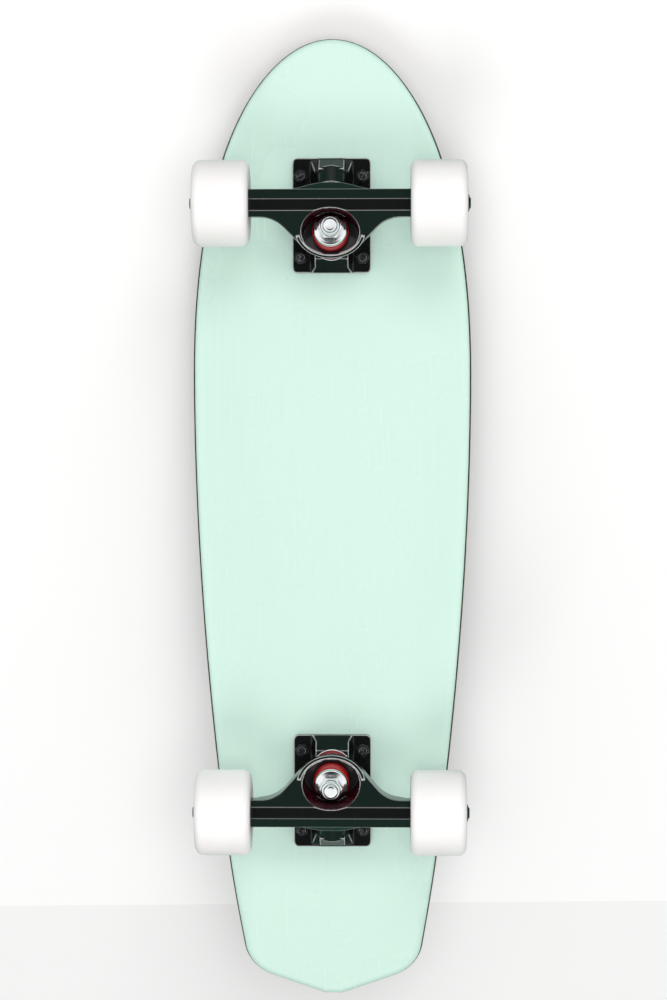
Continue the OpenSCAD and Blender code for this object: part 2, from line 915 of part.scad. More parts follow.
module shields_fr() {
    color("#9a9da2") at_front() shields(1);
}

module shields_rl() {
    color("#9a9da2") at_rear() shields(1);
}

module shields_rr() {
    color("#9a9da2") at_rear() shields(-1);
}

module balls_fl() {
    color("#d6d8db") at_front() balls(-1);
}

module balls_fr() {
    color("#d6d8db") at_front() balls(1);
}

module balls_rl() {
    color("#d6d8db") at_rear() balls(1);
}

module balls_rr() {
    color("#d6d8db") at_rear() balls(-1);
}

module cages_fl() {
    color("#8a6f3a") at_front() cages(-1);
}

module cages_fr() {
    color("#8a6f3a") at_front() cages(1);
}

module cages_rl() {
    color("#8a6f3a") at_rear() cages(1);
}

module cages_rr() {
    color("#8a6f3a") at_rear() cages(-1);
}

// ---- draw ----

deck_bottom_ply();
deck_dyed_ply();
deck_ply_3();
deck_ply_4();
deck_ply_5();
deck_ply_6();
deck_top_ply();
grip_tape();
mounting_bolts();
mounting_nuts();
front_baseplate();
front_pivot_cup();
front_kingpin();
front_board_cup_washer();
front_board_bushing();
front_road_bushing();
front_road_cup_washer();
front_kingpin_nut();
front_hanger();
front_axle();
front_inner_rings();
front_bearing_spacers();
front_speed_washers();
front_axle_nuts();
rear_baseplate();
rear_pivot_cup();
rear_kingpin();
rear_board_cup_washer();
rear_board_bushing();
rear_road_bushing();
rear_road_cup_washer();
rear_kingpin_nut();
rear_hanger();
rear_axle();
rear_inner_rings();
rear_bearing_spacers();
rear_speed_washers();
rear_axle_nuts();
wheel_fl();
wheel_fr();
wheel_rl();
wheel_rr();
outer_rings_fl();
outer_rings_fr();
outer_rings_rl();
outer_rings_rr();
shields_fl();
shields_fr();
shields_rl();
shields_rr();
balls_fl();
balls_fr();
balls_rl();
balls_rr();
cages_fl();
cages_fr();
cages_rl();
cages_rr();
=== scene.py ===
"""A short cruiser skateboard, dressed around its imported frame.

Everything is in metres in the frame of the part: +x to the nose, +y to the
left side, +z up, with the wheels standing on z = 0.
"""

import json
import logging
import math
from dataclasses import dataclass, field
from enum import Enum
from typing import Callable, Iterable, Sequence

import bmesh
import bpy
from mathutils import Matrix, Vector

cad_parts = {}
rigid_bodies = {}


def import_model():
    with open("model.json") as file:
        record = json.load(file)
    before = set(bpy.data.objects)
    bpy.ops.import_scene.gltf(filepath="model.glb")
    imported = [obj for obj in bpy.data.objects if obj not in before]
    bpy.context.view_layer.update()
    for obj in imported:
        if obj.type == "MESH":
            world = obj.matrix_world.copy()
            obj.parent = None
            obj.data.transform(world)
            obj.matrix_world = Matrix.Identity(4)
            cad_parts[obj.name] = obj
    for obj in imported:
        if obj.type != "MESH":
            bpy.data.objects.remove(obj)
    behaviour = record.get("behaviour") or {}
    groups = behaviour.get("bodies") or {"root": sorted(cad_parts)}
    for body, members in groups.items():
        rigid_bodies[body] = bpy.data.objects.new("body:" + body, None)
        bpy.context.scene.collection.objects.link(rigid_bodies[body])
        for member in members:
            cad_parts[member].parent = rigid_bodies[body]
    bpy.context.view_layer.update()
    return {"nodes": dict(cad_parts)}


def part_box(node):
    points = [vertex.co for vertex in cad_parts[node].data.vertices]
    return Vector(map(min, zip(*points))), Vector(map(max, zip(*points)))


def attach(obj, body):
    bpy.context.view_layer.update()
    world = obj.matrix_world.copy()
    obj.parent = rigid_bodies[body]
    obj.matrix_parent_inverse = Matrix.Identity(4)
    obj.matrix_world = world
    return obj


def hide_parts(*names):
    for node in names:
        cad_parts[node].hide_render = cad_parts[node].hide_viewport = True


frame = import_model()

LOG = logging.getLogger("skateboard")
MM = 0.001


# ---------------------------------------------------------------- sizes


class End(Enum):
    """Which end of the board a truck is at."""

    FRONT = 1
    REAR = -1


class Side(Enum):
    """Which side of the board a wheel is on."""

    LEFT = 1
    RIGHT = -1


@dataclass(frozen=True)
class BoardSizes:
    """Driving sizes of the board, in millimetres, as the part has them."""

    span: float = 384.8
    half: float = 93.6
    wide_x: float = 84.0
    nose_x: float = 312.7
    nose_power: float = 2.2
    side_taper: float = 22.8
    side_run: float = 324.0
    side_power: float = 1.9
    corner_x: float = -305.9
    corner_r: float = 29.0
    edge_deg: float = 21.0
    tip_r: float = 25.0
    ply: float = 1.5
    grip: float = 0.8
    concave: float = 4.5
    flat_y: float = 34.0
    nose_bend: float = 236.0
    nose_deg: float = 11.0
    nose_bend_r: float = 241.0
    tail_bend: float = -232.0
    tail_deg: float = 19.0
    tail_bend_r: float = 150.0
    edge_r: float = 4.5
    well_r: float = 215.0
    well_depth: float = 2.4
    well_y: float = 80.0
    well_reach: float = 33.0
    wheel_d: float = 56.0
    wheel_w: float = 36.6
    wheel_y: float = 70.5
    axle_u: float = 6.8
    axle_h: float = 51.5
    kp_u: float = -19.7
    kp_deg: float = 13.0

    @property
    def deck_z(self) -> float:
        """Height of the deck's flat underside."""
        return self.wheel_d / 2 + self.axle_h

    @property
    def thick(self) -> float:
        """Thickness of the seven plies and the grip sheet."""
        return 7 * self.ply + self.grip


SIZES = BoardSizes()


# ---------------------------------------------------------------- modelling helpers


def deselect_all() -> None:
    """Clears the object selection."""
    for obj in bpy.context.view_layer.objects:
        obj.select_set(False)


def activate(obj: bpy.types.Object) -> None:
    """Makes one object the only selected and active one.

    Args:
        obj: The object to work on.
    """
    deselect_all()
    obj.select_set(True)
    bpy.context.view_layer.objects.active = obj


def freeze(obj: bpy.types.Object) -> bpy.types.Object:
    """Puts an object's place, turn and scale into its mesh.

    Args:
        obj: The object to freeze.

    Returns:
        The same object, at the origin.
    """
    activate(obj)
    bpy.ops.object.transform_apply(location=True, rotation=True, scale=True)
    return obj


def add_modifier(obj: bpy.types.Object, kind: str, **settings: object) -> None:
    """Adds a modifier, sets it up and applies it.

    Args:
        obj: The object that gets it.
        kind: The modifier's type.
        **settings: Its properties.
    """
    activate(obj)
    mod = obj.modifiers.new(kind.lower(), kind)
    for key, value in settings.items():
        setattr(mod, key, value)
    bpy.ops.object.modifier_apply(modifier=mod.name)


def smooth(obj: bpy.types.Object, degrees: float = 35.0) -> None:
    """Smooth shading that keeps edges sharper than an angle.

    Args:
        obj: The object to shade.
        degrees: The smallest angle of an edge that stays sharp.
    """
    activate(obj)
    bpy.ops.object.shade_smooth_by_angle(angle=math.radians(degrees))


def axis_matrix(origin: Sequence[float], axis: Sequence[float]) -> Matrix:
    """A matrix that takes local z to an axis through a point.

    Args:
        origin: The point, in metres.
        axis: The direction of local z.

    Returns:
        The 4 by 4 matrix.
    """
    turn = Vector((0, 0, 1)).rotation_difference(Vector(axis).normalized())
    return Matrix.Translation(Vector(origin)) @ turn.to_matrix().to_4x4()


def place(obj: bpy.types.Object, matrix: Matrix) -> bpy.types.Object:
    """Moves a piece modelled about the origin to its place, in its mesh.

    Args:
        obj: The piece.
        matrix: Its place in the part's frame.

    Returns:
        The same piece, with its object at the origin.
    """
    obj.matrix_world = matrix
    return freeze(obj)


def turned(
    name: str, profile: Sequence[tuple[float, float]], steps: int = 96, sweep: float = 360.0
) -> bpy.types.Object:
    """A solid of revolution about local z, spun from a drawn profile.

    The profile is drawn point by point as (radius, height) in millimetres,
    from the axis or inner wall round to the start again.

    Args:
        name: The new piece's name.
        profile: The corners of the profile, which is closed afterwards.
        steps: How many steps the spin takes.
        sweep: Angle of the spin in degrees, starting at local x.

    Returns:
        The new piece, in metres, about the origin.
    """
    deselect_all()
    bpy.ops.mesh.primitive_plane_add(size=MM, location=(0, 0, 0))
    obj = bpy.context.active_object
    obj.name = name
    bpy.ops.object.mode_set(mode="EDIT")
    bpy.ops.mesh.select_mode(type="VERT")
    bpy.ops.mesh.select_all(action="SELECT")
    bpy.ops.mesh.merge(type="CENTER")
    start = profile[0]
    bpy.ops.transform.translate(value=(start[0] * MM, 0, start[1] * MM))
    last = start
    for point in profile[1:]:
        step = ((point[0] - last[0]) * MM, 0, (point[1] - last[1]) * MM)
        bpy.ops.mesh.extrude_region_move(TRANSFORM_OT_translate={"value": step})
        last = point
    if start[0] > 0 or last[0] > 0:
        step = ((start[0] - last[0]) * MM, 0, (start[1] - last[1]) * MM)
        bpy.ops.mesh.extrude_region_move(TRANSFORM_OT_translate={"value": step})
    bpy.ops.mesh.select_all(action="SELECT")
    bpy.ops.mesh.spin(steps=steps, angle=math.radians(sweep), center=(0, 0, 0), axis=(0, 0, 1))
    bpy.ops.mesh.select_all(action="SELECT")
    bpy.ops.mesh.remove_doubles(threshold=0.002 * MM)
    bpy.ops.mesh.fill_holes(sides=0)
    bpy.ops.object.mode_set(mode="OBJECT")
    turn_outward(obj)
    return obj


def round_corner(
    cx: float, cz: float, r: float, start: float, end: float, n: int
) -> list[tuple[float, float]]:
    """Points of a profile's rounded corner.

    Args:
        cx: Radius coordinate of the arc's centre.
        cz: Height of the arc's centre.
        r: Radius of the arc.
        start: First angle in degrees.
        end: Last angle in degrees.
        n: Number of steps.

    Returns:
        The arc's points.
    """
    angles = [math.radians(start + (end - start) * i / n) for i in range(n + 1)]
    return [(cx + r * math.cos(a), cz + r * math.sin(a)) for a in angles]


def turn_outward(obj: bpy.types.Object) -> None:
    """Makes a closed piece's normals consistent and outward.

    Args:
        obj: The piece.
    """
    activate(obj)
    bpy.ops.object.mode_set(mode="EDIT")
    bpy.ops.mesh.select_all(action="SELECT")
    bpy.ops.mesh.normals_make_consistent(inside=False)
    if bmesh.from_edit_mesh(obj.data).calc_volume(signed=True) < 0:
        bpy.ops.mesh.flip_normals()
    bpy.ops.object.mode_set(mode="OBJECT")


def select_faces(obj: bpy.types.Object, test: Callable[[Vector, Vector], bool]) -> None:
    """Selects an object's faces by place and normal, in edit mode.

    Args:
        obj: The object, already in edit mode.
        test: Says from a face's centre and normal whether to select it.
    """
    mesh = bmesh.from_edit_mesh(obj.data)
    mesh.select_mode = {"FACE"}
    for face in mesh.faces:
        face.select_set(test(face.calc_center_median(), face.normal))
    mesh.select_flush_mode()
    bmesh.update_edit_mesh(obj.data)


def copy_of(node: str, name: str) -> bpy.types.Object:
    """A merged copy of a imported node's mesh as a new piece.

    Args:
        node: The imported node.
        name: The new piece's name.

    Returns:
        The new piece.
    """
    source = frame["nodes"][node]
    obj = bpy.data.objects.new(name, source.data.copy())
    bpy.context.scene.collection.objects.link(obj)
    obj.data.materials.clear()
    activate(obj)
    bpy.ops.object.mode_set(mode="EDIT")
    bpy.ops.mesh.select_all(action="SELECT")
    bpy.ops.mesh.remove_doubles(threshold=0.002 * MM)
    bpy.ops.object.mode_set(mode="OBJECT")
    return obj


def twin(obj: bpy.types.Object, name: str, matrix: Matrix) -> bpy.types.Object:
    """A copy of a piece with its own mesh, moved in its mesh.

    Args:
        obj: The piece to copy.
        name: The copy's name.
        matrix: Where the copy goes, from the first one's place.

    Returns:
        The copy.
    """
    new = bpy.data.objects.new(name, obj.data.copy())
    bpy.context.scene.collection.objects.link(new)
    return place(new, matrix)


def join(name: str, parts: Sequence[bpy.types.Object]) -> bpy.types.Object:
    """Joins several meshes into one piece.

    Args:
        name: The joined piece's name.
        parts: The meshes.

    Returns:
        The joined piece.
    """
    deselect_all()
    for part in parts:
        part.select_set(True)
    bpy.context.view_layer.objects.active = parts[0]
    bpy.ops.object.join()
    parts[0].name = name
    return parts[0]


def cut(obj: bpy.types.Object, cutter: bpy.types.Object) -> None:
    """Cuts one solid out of another, which takes the cutter's finish on the cut.

    Args:
        obj: The solid that is cut.
        cutter: The solid that cuts.
    """
    add_modifier(
        obj, "BOOLEAN", operation="DIFFERENCE", solver="EXACT", object=cutter, material_mode="TRANSFER"
    )
    bpy.data.objects.remove(cutter)


# ---------------------------------------------------------------- node groups and finishes


class GroupMaker:
    """Builds the shader node groups that several finishes share."""

    def __init__(self) -> None:
        """Starts with no groups."""
        self._made: dict[str, bpy.types.NodeTree] = {}

    def _new(
        self, name: str, inputs: Sequence[tuple[str, str, object]], outputs: Sequence[tuple[str, str]]
    ) -> bpy.types.NodeTree:
        """Makes an empty group with named sockets.

        Args:
            name: The group's name.
            inputs: Name, socket type and first value of each input.
            outputs: Name and socket type of each output.

        Returns:
            The group, with its input and output nodes.
        """
        tree = bpy.data.node_groups.new(name, "ShaderNodeTree")
        for label, kind, value in inputs:
            socket = tree.interface.new_socket(label, in_out="INPUT", socket_type=kind)
            if value is not None:
                socket.default_value = value
        for label, kind in outputs:
            tree.interface.new_socket(label, in_out="OUTPUT", socket_type=kind)
        tree.nodes.new("NodeGroupInput").name = "in"
        tree.nodes.new("NodeGroupOutput").name = "out"
        return tree

    def wear(self) -> bpy.types.NodeTree:
        """Edge mask by pointiness: rubbed edges broken up by noise; raising Highlight fills the gaps into an
        unbroken painted edge highlight.

        Returns:
            The group.
        """
        if "wear" in self._made:
            return self._made["wear"]
        tree = self._new(
            "edge_wear",
            [
                ("Amount", "NodeSocketFloat", 0.3),
                ("Scale", "NodeSocketFloat", 400.0),
                ("Start", "NodeSocketFloat", 0.52),
                ("Full", "NodeSocketFloat", 0.62),
                ("Even", "NodeSocketFloat", 0.0),
            ],
            [("Mask", "NodeSocketFloat")],
        )
        n, l = tree.nodes, tree.links
        geo = n.new("ShaderNodeNewGeometry")
        ramp = n.new("ShaderNodeMapRange")
        l.new(n["in"].outputs["Start"], ramp.inputs["From Min"])
        l.new(n["in"].outputs["Full"], ramp.inputs["From Max"])
        l.new(geo.outputs["Pointiness"], ramp.inputs["Value"])
        coord = n.new("ShaderNodeTexCoord")
        noise = n.new("ShaderNodeTexNoise")
        noise.inputs["Detail"].default_value = 5
        l.new(coord.outputs["Object"], noise.inputs["Vector"])
        l.new(n["in"].outputs["Scale"], noise.inputs["Scale"])
        broken = n.new("ShaderNodeMapRange")
        broken.inputs["From Min"].default_value = 0.45
        broken.inputs["From Max"].default_value = 0.65
        l.new(noise.outputs["Fac"], broken.inputs["Value"])
        # Highlight fills the noise gaps, so the mask becomes a solid painted edge highlight.
        filled = n.new("ShaderNodeMath")
        filled.operation = "MAXIMUM"
        l.new(broken.outputs["Result"], filled.inputs[0])
        l.new(n["in"].outputs["Even"], filled.inputs[1])
        both = n.new("ShaderNodeMath")
        both.operation = "MULTIPLY"
        l.new(ramp.outputs["Result"], both.inputs[0])
        l.new(filled.outputs[0], both.inputs[1])
        scaled = n.new("ShaderNodeMath")
        scaled.operation = "MULTIPLY"
        scaled.use_clamp = True
        l.new(both.outputs[0], scaled.inputs[0])
        l.new(n["in"].outputs["Amount"], scaled.inputs[1])
        l.new(scaled.outputs[0], n["out"].inputs["Mask"])
        self._made["wear"] = tree
        return tree

    def mottle(self) -> bpy.types.NodeTree:
        """Slow mottling: a value about 1 that varies over the surface.

        Returns:
            The group.
        """
        if "mottle" in self._made:
            return self._made["mottle"]
        tree = self._new(
            "slow_mottle",
            [
                ("Scale", "NodeSocketFloat", 12.0),
                ("Low", "NodeSocketFloat", 0.9),
                ("High", "NodeSocketFloat", 1.1),
            ],
            [("Value", "NodeSocketFloat")],
        )
        n, l = tree.nodes, tree.links
        coord = n.new("ShaderNodeTexCoord")
        noise = n.new("ShaderNodeTexNoise")
        noise.inputs["Detail"].default_value = 4
        noise.inputs["Roughness"].default_value = 0.6
        l.new(coord.outputs["Object"], noise.inputs["Vector"])
        l.new(n["in"].outputs["Scale"], noise.inputs["Scale"])
        rng = n.new("ShaderNodeMapRange")
        rng.inputs["From Min"].default_value = 0.3
        rng.inputs["From Max"].default_value = 0.7
        l.new(noise.outputs["Fac"], rng.inputs["Value"])
        l.new(n["in"].outputs["Low"], rng.inputs["To Min"])
        l.new(n["in"].outputs["High"], rng.inputs["To Max"])
        l.new(rng.outputs["Result"], n["out"].inputs["Value"])
        self._made["mottle"] = tree
        return tree

    def scratches(self) -> bpy.types.NodeTree:
        """Fine handling scratches as a mask of thin broken lines.

        Returns:
            The group.
        """
        if "scratches" in self._made:
            return self._made["scratches"]
        tree = self._new(
            "fine_scratches",
            [("Scale", "NodeSocketFloat", 60.0), ("Amount", "NodeSocketFloat", 0.5)],
            [("Mask", "NodeSocketFloat")],
        )
        n, l = tree.nodes, tree.links
        coord = n.new("ShaderNodeTexCoord")
        last = None
        for turn in (0.5, 1.9):
            mapping = n.new("ShaderNodeMapping")
            mapping.inputs["Rotation"].default_value = (turn, turn * 0.7, turn)
            mapping.inputs["Scale"].default_value = (1.0, 14.0, 1.0)
            l.new(coord.outputs["Object"], mapping.inputs["Vector"])
            noise = n.new("ShaderNodeTexNoise")
            noise.inputs["Detail"].default_value = 3
            l.new(mapping.outputs["Vector"], noise.inputs["Vector"])
            l.new(n["in"].outputs["Scale"], noise.inputs["Scale"])
            band = n.new("ShaderNodeMapRange")
            band.inputs["From Min"].default_value = 0.66
            band.inputs["From Max"].default_value = 0.70
            l.new(noise.outputs["Fac"], band.inputs["Value"])
            if last is None:
                last = band.outputs["Result"]
            else:
                top = n.new("ShaderNodeMath")
                top.operation = "MAXIMUM"
                l.new(last, top.inputs[0])
                l.new(band.outputs["Result"], top.inputs[1])
                last = top.outputs[0]
        amount = n.new("ShaderNodeMath")
        amount.operation = "MULTIPLY"
        l.new(last, amount.inputs[0])
        l.new(n["in"].outputs["Amount"], amount.inputs[1])
        l.new(amount.outputs[0], n["out"].inputs["Mask"])
        self._made["scratches"] = tree
        return tree


GROUPS = GroupMaker()


class FinishNodes:
    """A material under construction, with short ways to add its nodes."""

    def __init__(self, name: str) -> None:
        """Starts a material with a Principled shader.

        Args:
            name: The material's name.
        """
        self.material = bpy.data.materials.new(name)
        self.material.use_nodes = True
        self.tree = self.material.node_tree
        self.nodes = self.tree.nodes
        self.links = self.tree.links
        self.shader = self.nodes["Principled BSDF"]
        self.coord = self.nodes.new("ShaderNodeTexCoord")

    def put(self, socket: str, value: object) -> None:
        """Sets a constant on the shader or links a changing value to it.

        Args:
            socket: The shader socket's name.
            value: A number, a colour or an output socket.
        """
        if isinstance(value, bpy.types.NodeSocket):
            self.links.new(value, self.shader.inputs[socket])
        else:
            self.shader.inputs[socket].default_value = value

    def group(self, tree: bpy.types.NodeTree, **values: float) -> bpy.types.Node:
        """Places a shared node group.

        Args:
            tree: The group.
            **values: Values of its inputs.

        Returns:
            The group node.
        """
        node = self.nodes.new("ShaderNodeGroup")
        node.node_tree = tree
        for key, value in values.items():
            node.inputs[key].default_value = value
        return node

    def noise(
        self,
        scale: float,
        detail: float = 4.0,
        rough: float = 0.5,
        stretch: Sequence[float] = (1, 1, 1),
        turn: Sequence[float] = (0, 0, 0),
    ) -> bpy.types.NodeSocket:
        """Noise on object coordinates.

        Args:
            scale: Features per metre, roughly.
            detail: Octaves.
            rough: How strong the fine octaves are.
            stretch: Scale along each axis.
            turn: Turn about each axis in radians.

        Returns:
            The noise value's socket.
        """
        mapping = self.nodes.new("ShaderNodeMapping")
        mapping.inputs["Scale"].default_value = stretch
        mapping.inputs["Rotation"].default_value = turn
        self.links.new(self.coord.outputs["Object"], mapping.inputs["Vector"])
        noise = self.nodes.new("ShaderNodeTexNoise")
        noise.inputs["Scale"].default_value = scale
        noise.inputs["Detail"].default_value = detail
        noise.inputs["Roughness"].default_value = rough
        self.links.new(mapping.outputs["Vector"], noise.inputs["Vector"])
        return noise.outputs["Fac"]

    def mapped(
        self, value: bpy.types.NodeSocket, low: float, high: float, to_low: float, to_high: float
    ) -> bpy.types.NodeSocket:
        """A value moved from one range to another, clamped.

        Args:
            value: The value's socket.
            low: Start of its range.
            high: End of its range.
            to_low: Start of the new range.
            to_high: End of the new range.

        Returns:
            The mapped value's socket.
        """
        node = self.nodes.new("ShaderNodeMapRange")
        node.inputs["From Min"].default_value = low
        node.inputs["From Max"].default_value = high
        node.inputs["To Min"].default_value = to_low
        node.inputs["To Max"].default_value = to_high
        self.links.new(value, node.inputs["Value"])
        return node.outputs["Result"]

    def math(self, kind: str, a: object, b: object = 0.0) -> bpy.types.NodeSocket:
        """One Math node.

        Args:
            kind: Its operation.
            a: First number or socket.
            b: Second number or socket.

        Returns:
            The result's socket.
        """
        node = self.nodes.new("ShaderNodeMath")
        node.operation = kind
        for i, value in enumerate((a, b)):
            if isinstance(value, bpy.types.NodeSocket):
                self.links.new(value, node.inputs[i])
            else:
                node.inputs[i].default_value = value
        return node.outputs[0]

    def mix(self, mask: bpy.types.NodeSocket, low: object, high: object) -> bpy.types.NodeSocket:
        """Mixes two colours by a mask.

        Args:
            mask: The mask's socket.
            low: Colour or socket where the mask is 0.
            high: Colour or socket where the mask is 1.

        Returns:
            The mixed colour's socket.
        """
        node = self.nodes.new("ShaderNodeMix")
        node.data_type = "RGBA"
        self.links.new(mask, node.inputs["Factor"])
        for i, value in ((6, low), (7, high)):
            if isinstance(value, bpy.types.NodeSocket):
                self.links.new(value, node.inputs[i])
            else:
                node.inputs[i].default_value = (*value, 1.0)
        return node.outputs[2]

    def bump(self, height: bpy.types.NodeSocket, strength: float, distance: float) -> None:
        """Bumps the surface, on top of any earlier bump.

        Args:
            height: The height's socket.
            strength: Share of the bump that shows.
            distance: Height of a full step, in metres.
        """
        node = self.nodes.new("ShaderNodeBump")
        node.inputs["Strength"].default_value = strength
        node.inputs["Distance"].default_value = distance
        self.links.new(height, node.inputs["Height"])
        normal = self.shader.inputs["Normal"]
        if normal.is_linked:
            self.links.new(normal.links[0].from_socket, node.inputs["Normal"])
        self.links.new(node.outputs["Normal"], normal)


@dataclass(frozen=True)
class GlossPaint:
    """Sprayed paint with faint orange peel, fine scratches and bright edges: rubbed paint, and on the black
    casting a painted edge highlight.
    """

    name: str
    colour: tuple[float, float, float]
    # Colour of the bright edges: rubbed paint, and on the black casting a near-white painted highlight.
    worn: tuple[float, float, float]
    rough: float = 0.2
    peel: float = 0.05
    wear: float = 0.15
    coat: float = 0.25
    shine: float = 0.3
    # even fills the gaps in the edge mask to give an unbroken painted edge highlight; 0 leaves only rubbed
    # edges.
    even: float = 0.0
    edge_start: float = 0.52
    edge_full: float = 0.62

    def build(self) -> bpy.types.Material:
        """Builds the material.

        Returns:
            The material.
        """
        m = FinishNodes(self.name)
        tone = m.group(GROUPS.mottle(), Scale=9.0, Low=0.95, High=1.03).outputs["Value"]
        base = m.mix(tone, (0, 0, 0), self.colour)
        edge = {
            "Amount": self.wear,
            "Scale": 500.0,
            "Even": self.even,
            "Start": self.edge_start,
            "Full": self.edge_full,
        }
        # Bright edges: rubbed paint, and a painted edge highlight where even fills the mask.
        worn = m.group(GROUPS.wear(), **edge).outputs["Mask"]
        m.put("Base Color", m.mix(worn, base, self.worn))
        marks = m.group(GROUPS.scratches(), Scale=45.0, Amount=0.10).outputs["Mask"]
        uneven = m.mapped(m.noise(30.0), 0.3, 0.7, self.rough * 0.8, self.rough * 1.25)
        m.put("Roughness", m.math("ADD", uneven, marks))
        m.put("Specular IOR Level", self.shine)
        m.put("Coat Weight", self.coat)
        m.put("Coat Roughness", 0.05)
        m.bump(m.noise(900.0, 2.0), self.peel, 0.0002)
        return m.material


@dataclass(frozen=True)
class MintPaint:
    """Smooth satin mint paint on wood, with veneer grain just showing through."""

    name: str = "mint_satin_paint"
    light: tuple[float, float, float] = (0.628, 0.842, 0.745)
    deep: tuple[float, float, float] = (0.575, 0.815, 0.708)

    def build(self) -> bpy.types.Material:
        """Builds the material.

        Returns:
            The material.
        """
        m = FinishNodes(self.name)
        grain = m.noise(55.0, 5.0, 0.6, (0.35, 9.0, 1.0))
        cloud = m.noise(5.0, 3.0)
        mask = m.math("MULTIPLY", m.mapped(grain, 0.3, 0.75, 0.0, 0.6), m.mapped(cloud, 0.3, 0.7, 0.4, 1.0))
        colour = m.mix(mask, self.light, self.deep)
        specks = m.mapped(m.noise(700.0, 2.0), 0.72, 0.76, 0.0, 0.12)
        m.put("Base Color", m.mix(specks, colour, (0.86, 0.95, 0.90)))
        marks = m.group(GROUPS.scratches(), Scale=16.0, Amount=0.10).outputs["Mask"]
        m.put("Roughness", m.math("ADD", m.mapped(m.noise(14.0), 0.3, 0.7, 0.24, 0.34), marks))
        m.put("Coat Weight", 0.35)
        m.put("Coat Roughness", 0.14)
        m.bump(grain, 0.05, 0.0003)
        m.bump(m.noise(1100.0, 2.0), 0.03, 0.0003)
        return m.material


@dataclass(frozen=True)
class Maple:
    """Veneer seen mostly at its sanded edge: long grain, pores and flecks."""

    name: str
    light: tuple[float, float, float]
    dark: tuple[float, float, float]
    rough: float = 0.55

    def build(self) -> bpy.types.Material:
        """Builds the material.

        Returns:
            The material.
        """
        m = FinishNodes(self.name)
        lines = m.noise(90.0, 6.0, 0.65, (0.25, 6.0, 6.0))
        patch = m.noise(16.0, 3.0)
        colour = m.mix(m.mapped(lines, 0.32, 0.68, 0.0, 1.0), self.light, self.dark)
        flecks = m.mapped(m.noise(1500.0, 3.0, 0.6, (0.2, 1.0, 1.0)), 0.62, 0.75, 0.0, 0.5)
        colour = m.mix(flecks, colour, tuple(c * 0.55 for c in self.dark))
        m.put("Base Color", m.mix(m.mapped(patch, 0.4, 0.65, 0.0, 0.35), colour, self.dark))
        m.put("Roughness", m.mapped(lines, 0.3, 0.7, self.rough * 0.85, self.rough * 1.15))
        m.bump(lines, 0.25, 0.0002)
        return m.material


@dataclass(frozen=True)
class GripSheet:
    """Black abrasive grit bonded to a sheet, with sparkling grains."""

    name: str = "grip_grit"

    def build(self) -> bpy.types.Material:
        """Builds the material.

        Returns:
            The material.
        """
        m = FinishNodes(self.name)
        cells = m.nodes.new("ShaderNodeTexVoronoi")
        cells.inputs["Scale"].default_value = 1500.0
        m.links.new(m.coord.outputs["Object"], cells.inputs["Vector"])
        spark = m.mapped(m.noise(2600.0, 2.0), 0.66, 0.72, 0.0, 0.8)
        grit = m.mapped(cells.outputs["Distance"], 0.0, 0.7, 0.0, 1.0)
        tone = m.mix(grit, (0.030, 0.030, 0.032), (0.007, 0.007, 0.008))
        dusty = m.mapped(m.noise(7.0, 4.0), 0.45, 0.75, 0.0, 0.25)
        tone = m.mix(dusty, tone, (0.060, 0.058, 0.055))
        m.put("Base Color", m.mix(spark, tone, (0.22, 0.22, 0.23)))
        m.put("Roughness", m.mapped(cells.outputs["Distance"], 0.0, 0.6, 0.62, 0.95))
        m.bump(cells.outputs["Distance"], 0.9, 0.0005)
        m.bump(m.noise(500.0, 3.0), 0.3, 0.0004)
        return m.material


@dataclass(frozen=True)
class BareMetal:
    """Plated or ground metal with fine marks and slight tarnish."""

    name: str
    colour: tuple[float, float, float]
    stain: tuple[float, float, float]
    rough: float = 0.22
    metallic: float = 1.0
    grain: float = 0.15

    def build(self) -> bpy.types.Material:
        """Builds the material.

        Returns:
            The material.
        """
        m = FinishNodes(self.name)
        cloud = m.mapped(m.noise(120.0, 5.0, 0.6), 0.42, 0.72, 0.0, 0.55)
        worn = m.group(GROUPS.wear(), Amount=0.35, Scale=900.0).outputs["Mask"]
        colour = m.mix(cloud, self.colour, self.stain)
        m.put("Base Color", m.mix(worn, colour, tuple(min(1.0, c * 1.3 + 0.05) for c in self.colour)))
        m.put("Metallic", self.metallic)
        fine = m.noise(2200.0, 2.0, 0.5, (1.0, 0.15, 1.0))
        marks = m.group(GROUPS.scratches(), Scale=160.0, Amount=0.15).outputs["Mask"]
        uneven = m.mapped(fine, 0.3, 0.7, self.rough * 0.75, self.rough * 1.3)
        m.put("Roughness", m.math("ADD", uneven, marks))
        m.bump(fine, self.grain, 0.00006)
        return m.material


@dataclass(frozen=True)
class Urethane:
    """Cast urethane: satin skin, soft mottling and a little light inside."""

    name: str
    colour: tuple[float, float, float]
    warm: tuple[float, float, float]
    rough: float = 0.42
    inside: float = 0.15

    def build(self) -> bpy.types.Material:
        """Builds the material.

        Returns:
            The material.
        """
        m = FinishNodes(self.name)
        cloud = m.mapped(m.noise(35.0, 4.0, 0.6), 0.35, 0.7, 0.0, 1.0)
        colour = m.mix(cloud, self.colour, self.warm)
        dust = m.mapped(m.noise(900.0, 3.0), 0.68, 0.74, 0.0, 0.25)
        m.put("Base Color", m.mix(dust, colour, tuple(c * 0.86 for c in self.warm)))
        marks = m.group(GROUPS.scratches(), Scale=90.0, Amount=0.08).outputs["Mask"]
        uneven = m.mapped(m.noise(60.0), 0.3, 0.7, self.rough * 0.88, self.rough * 1.12)
        m.put("Roughness", m.math("ADD", uneven, marks))
        m.put("Subsurface Weight", self.inside)
        m.put("Subsurface Radius", (0.004, 0.0025, 0.002))
        m.put("Subsurface Scale", 1.0)
        m.bump(m.noise(700.0, 3.0), 0.06, 0.0003)
        return m.material


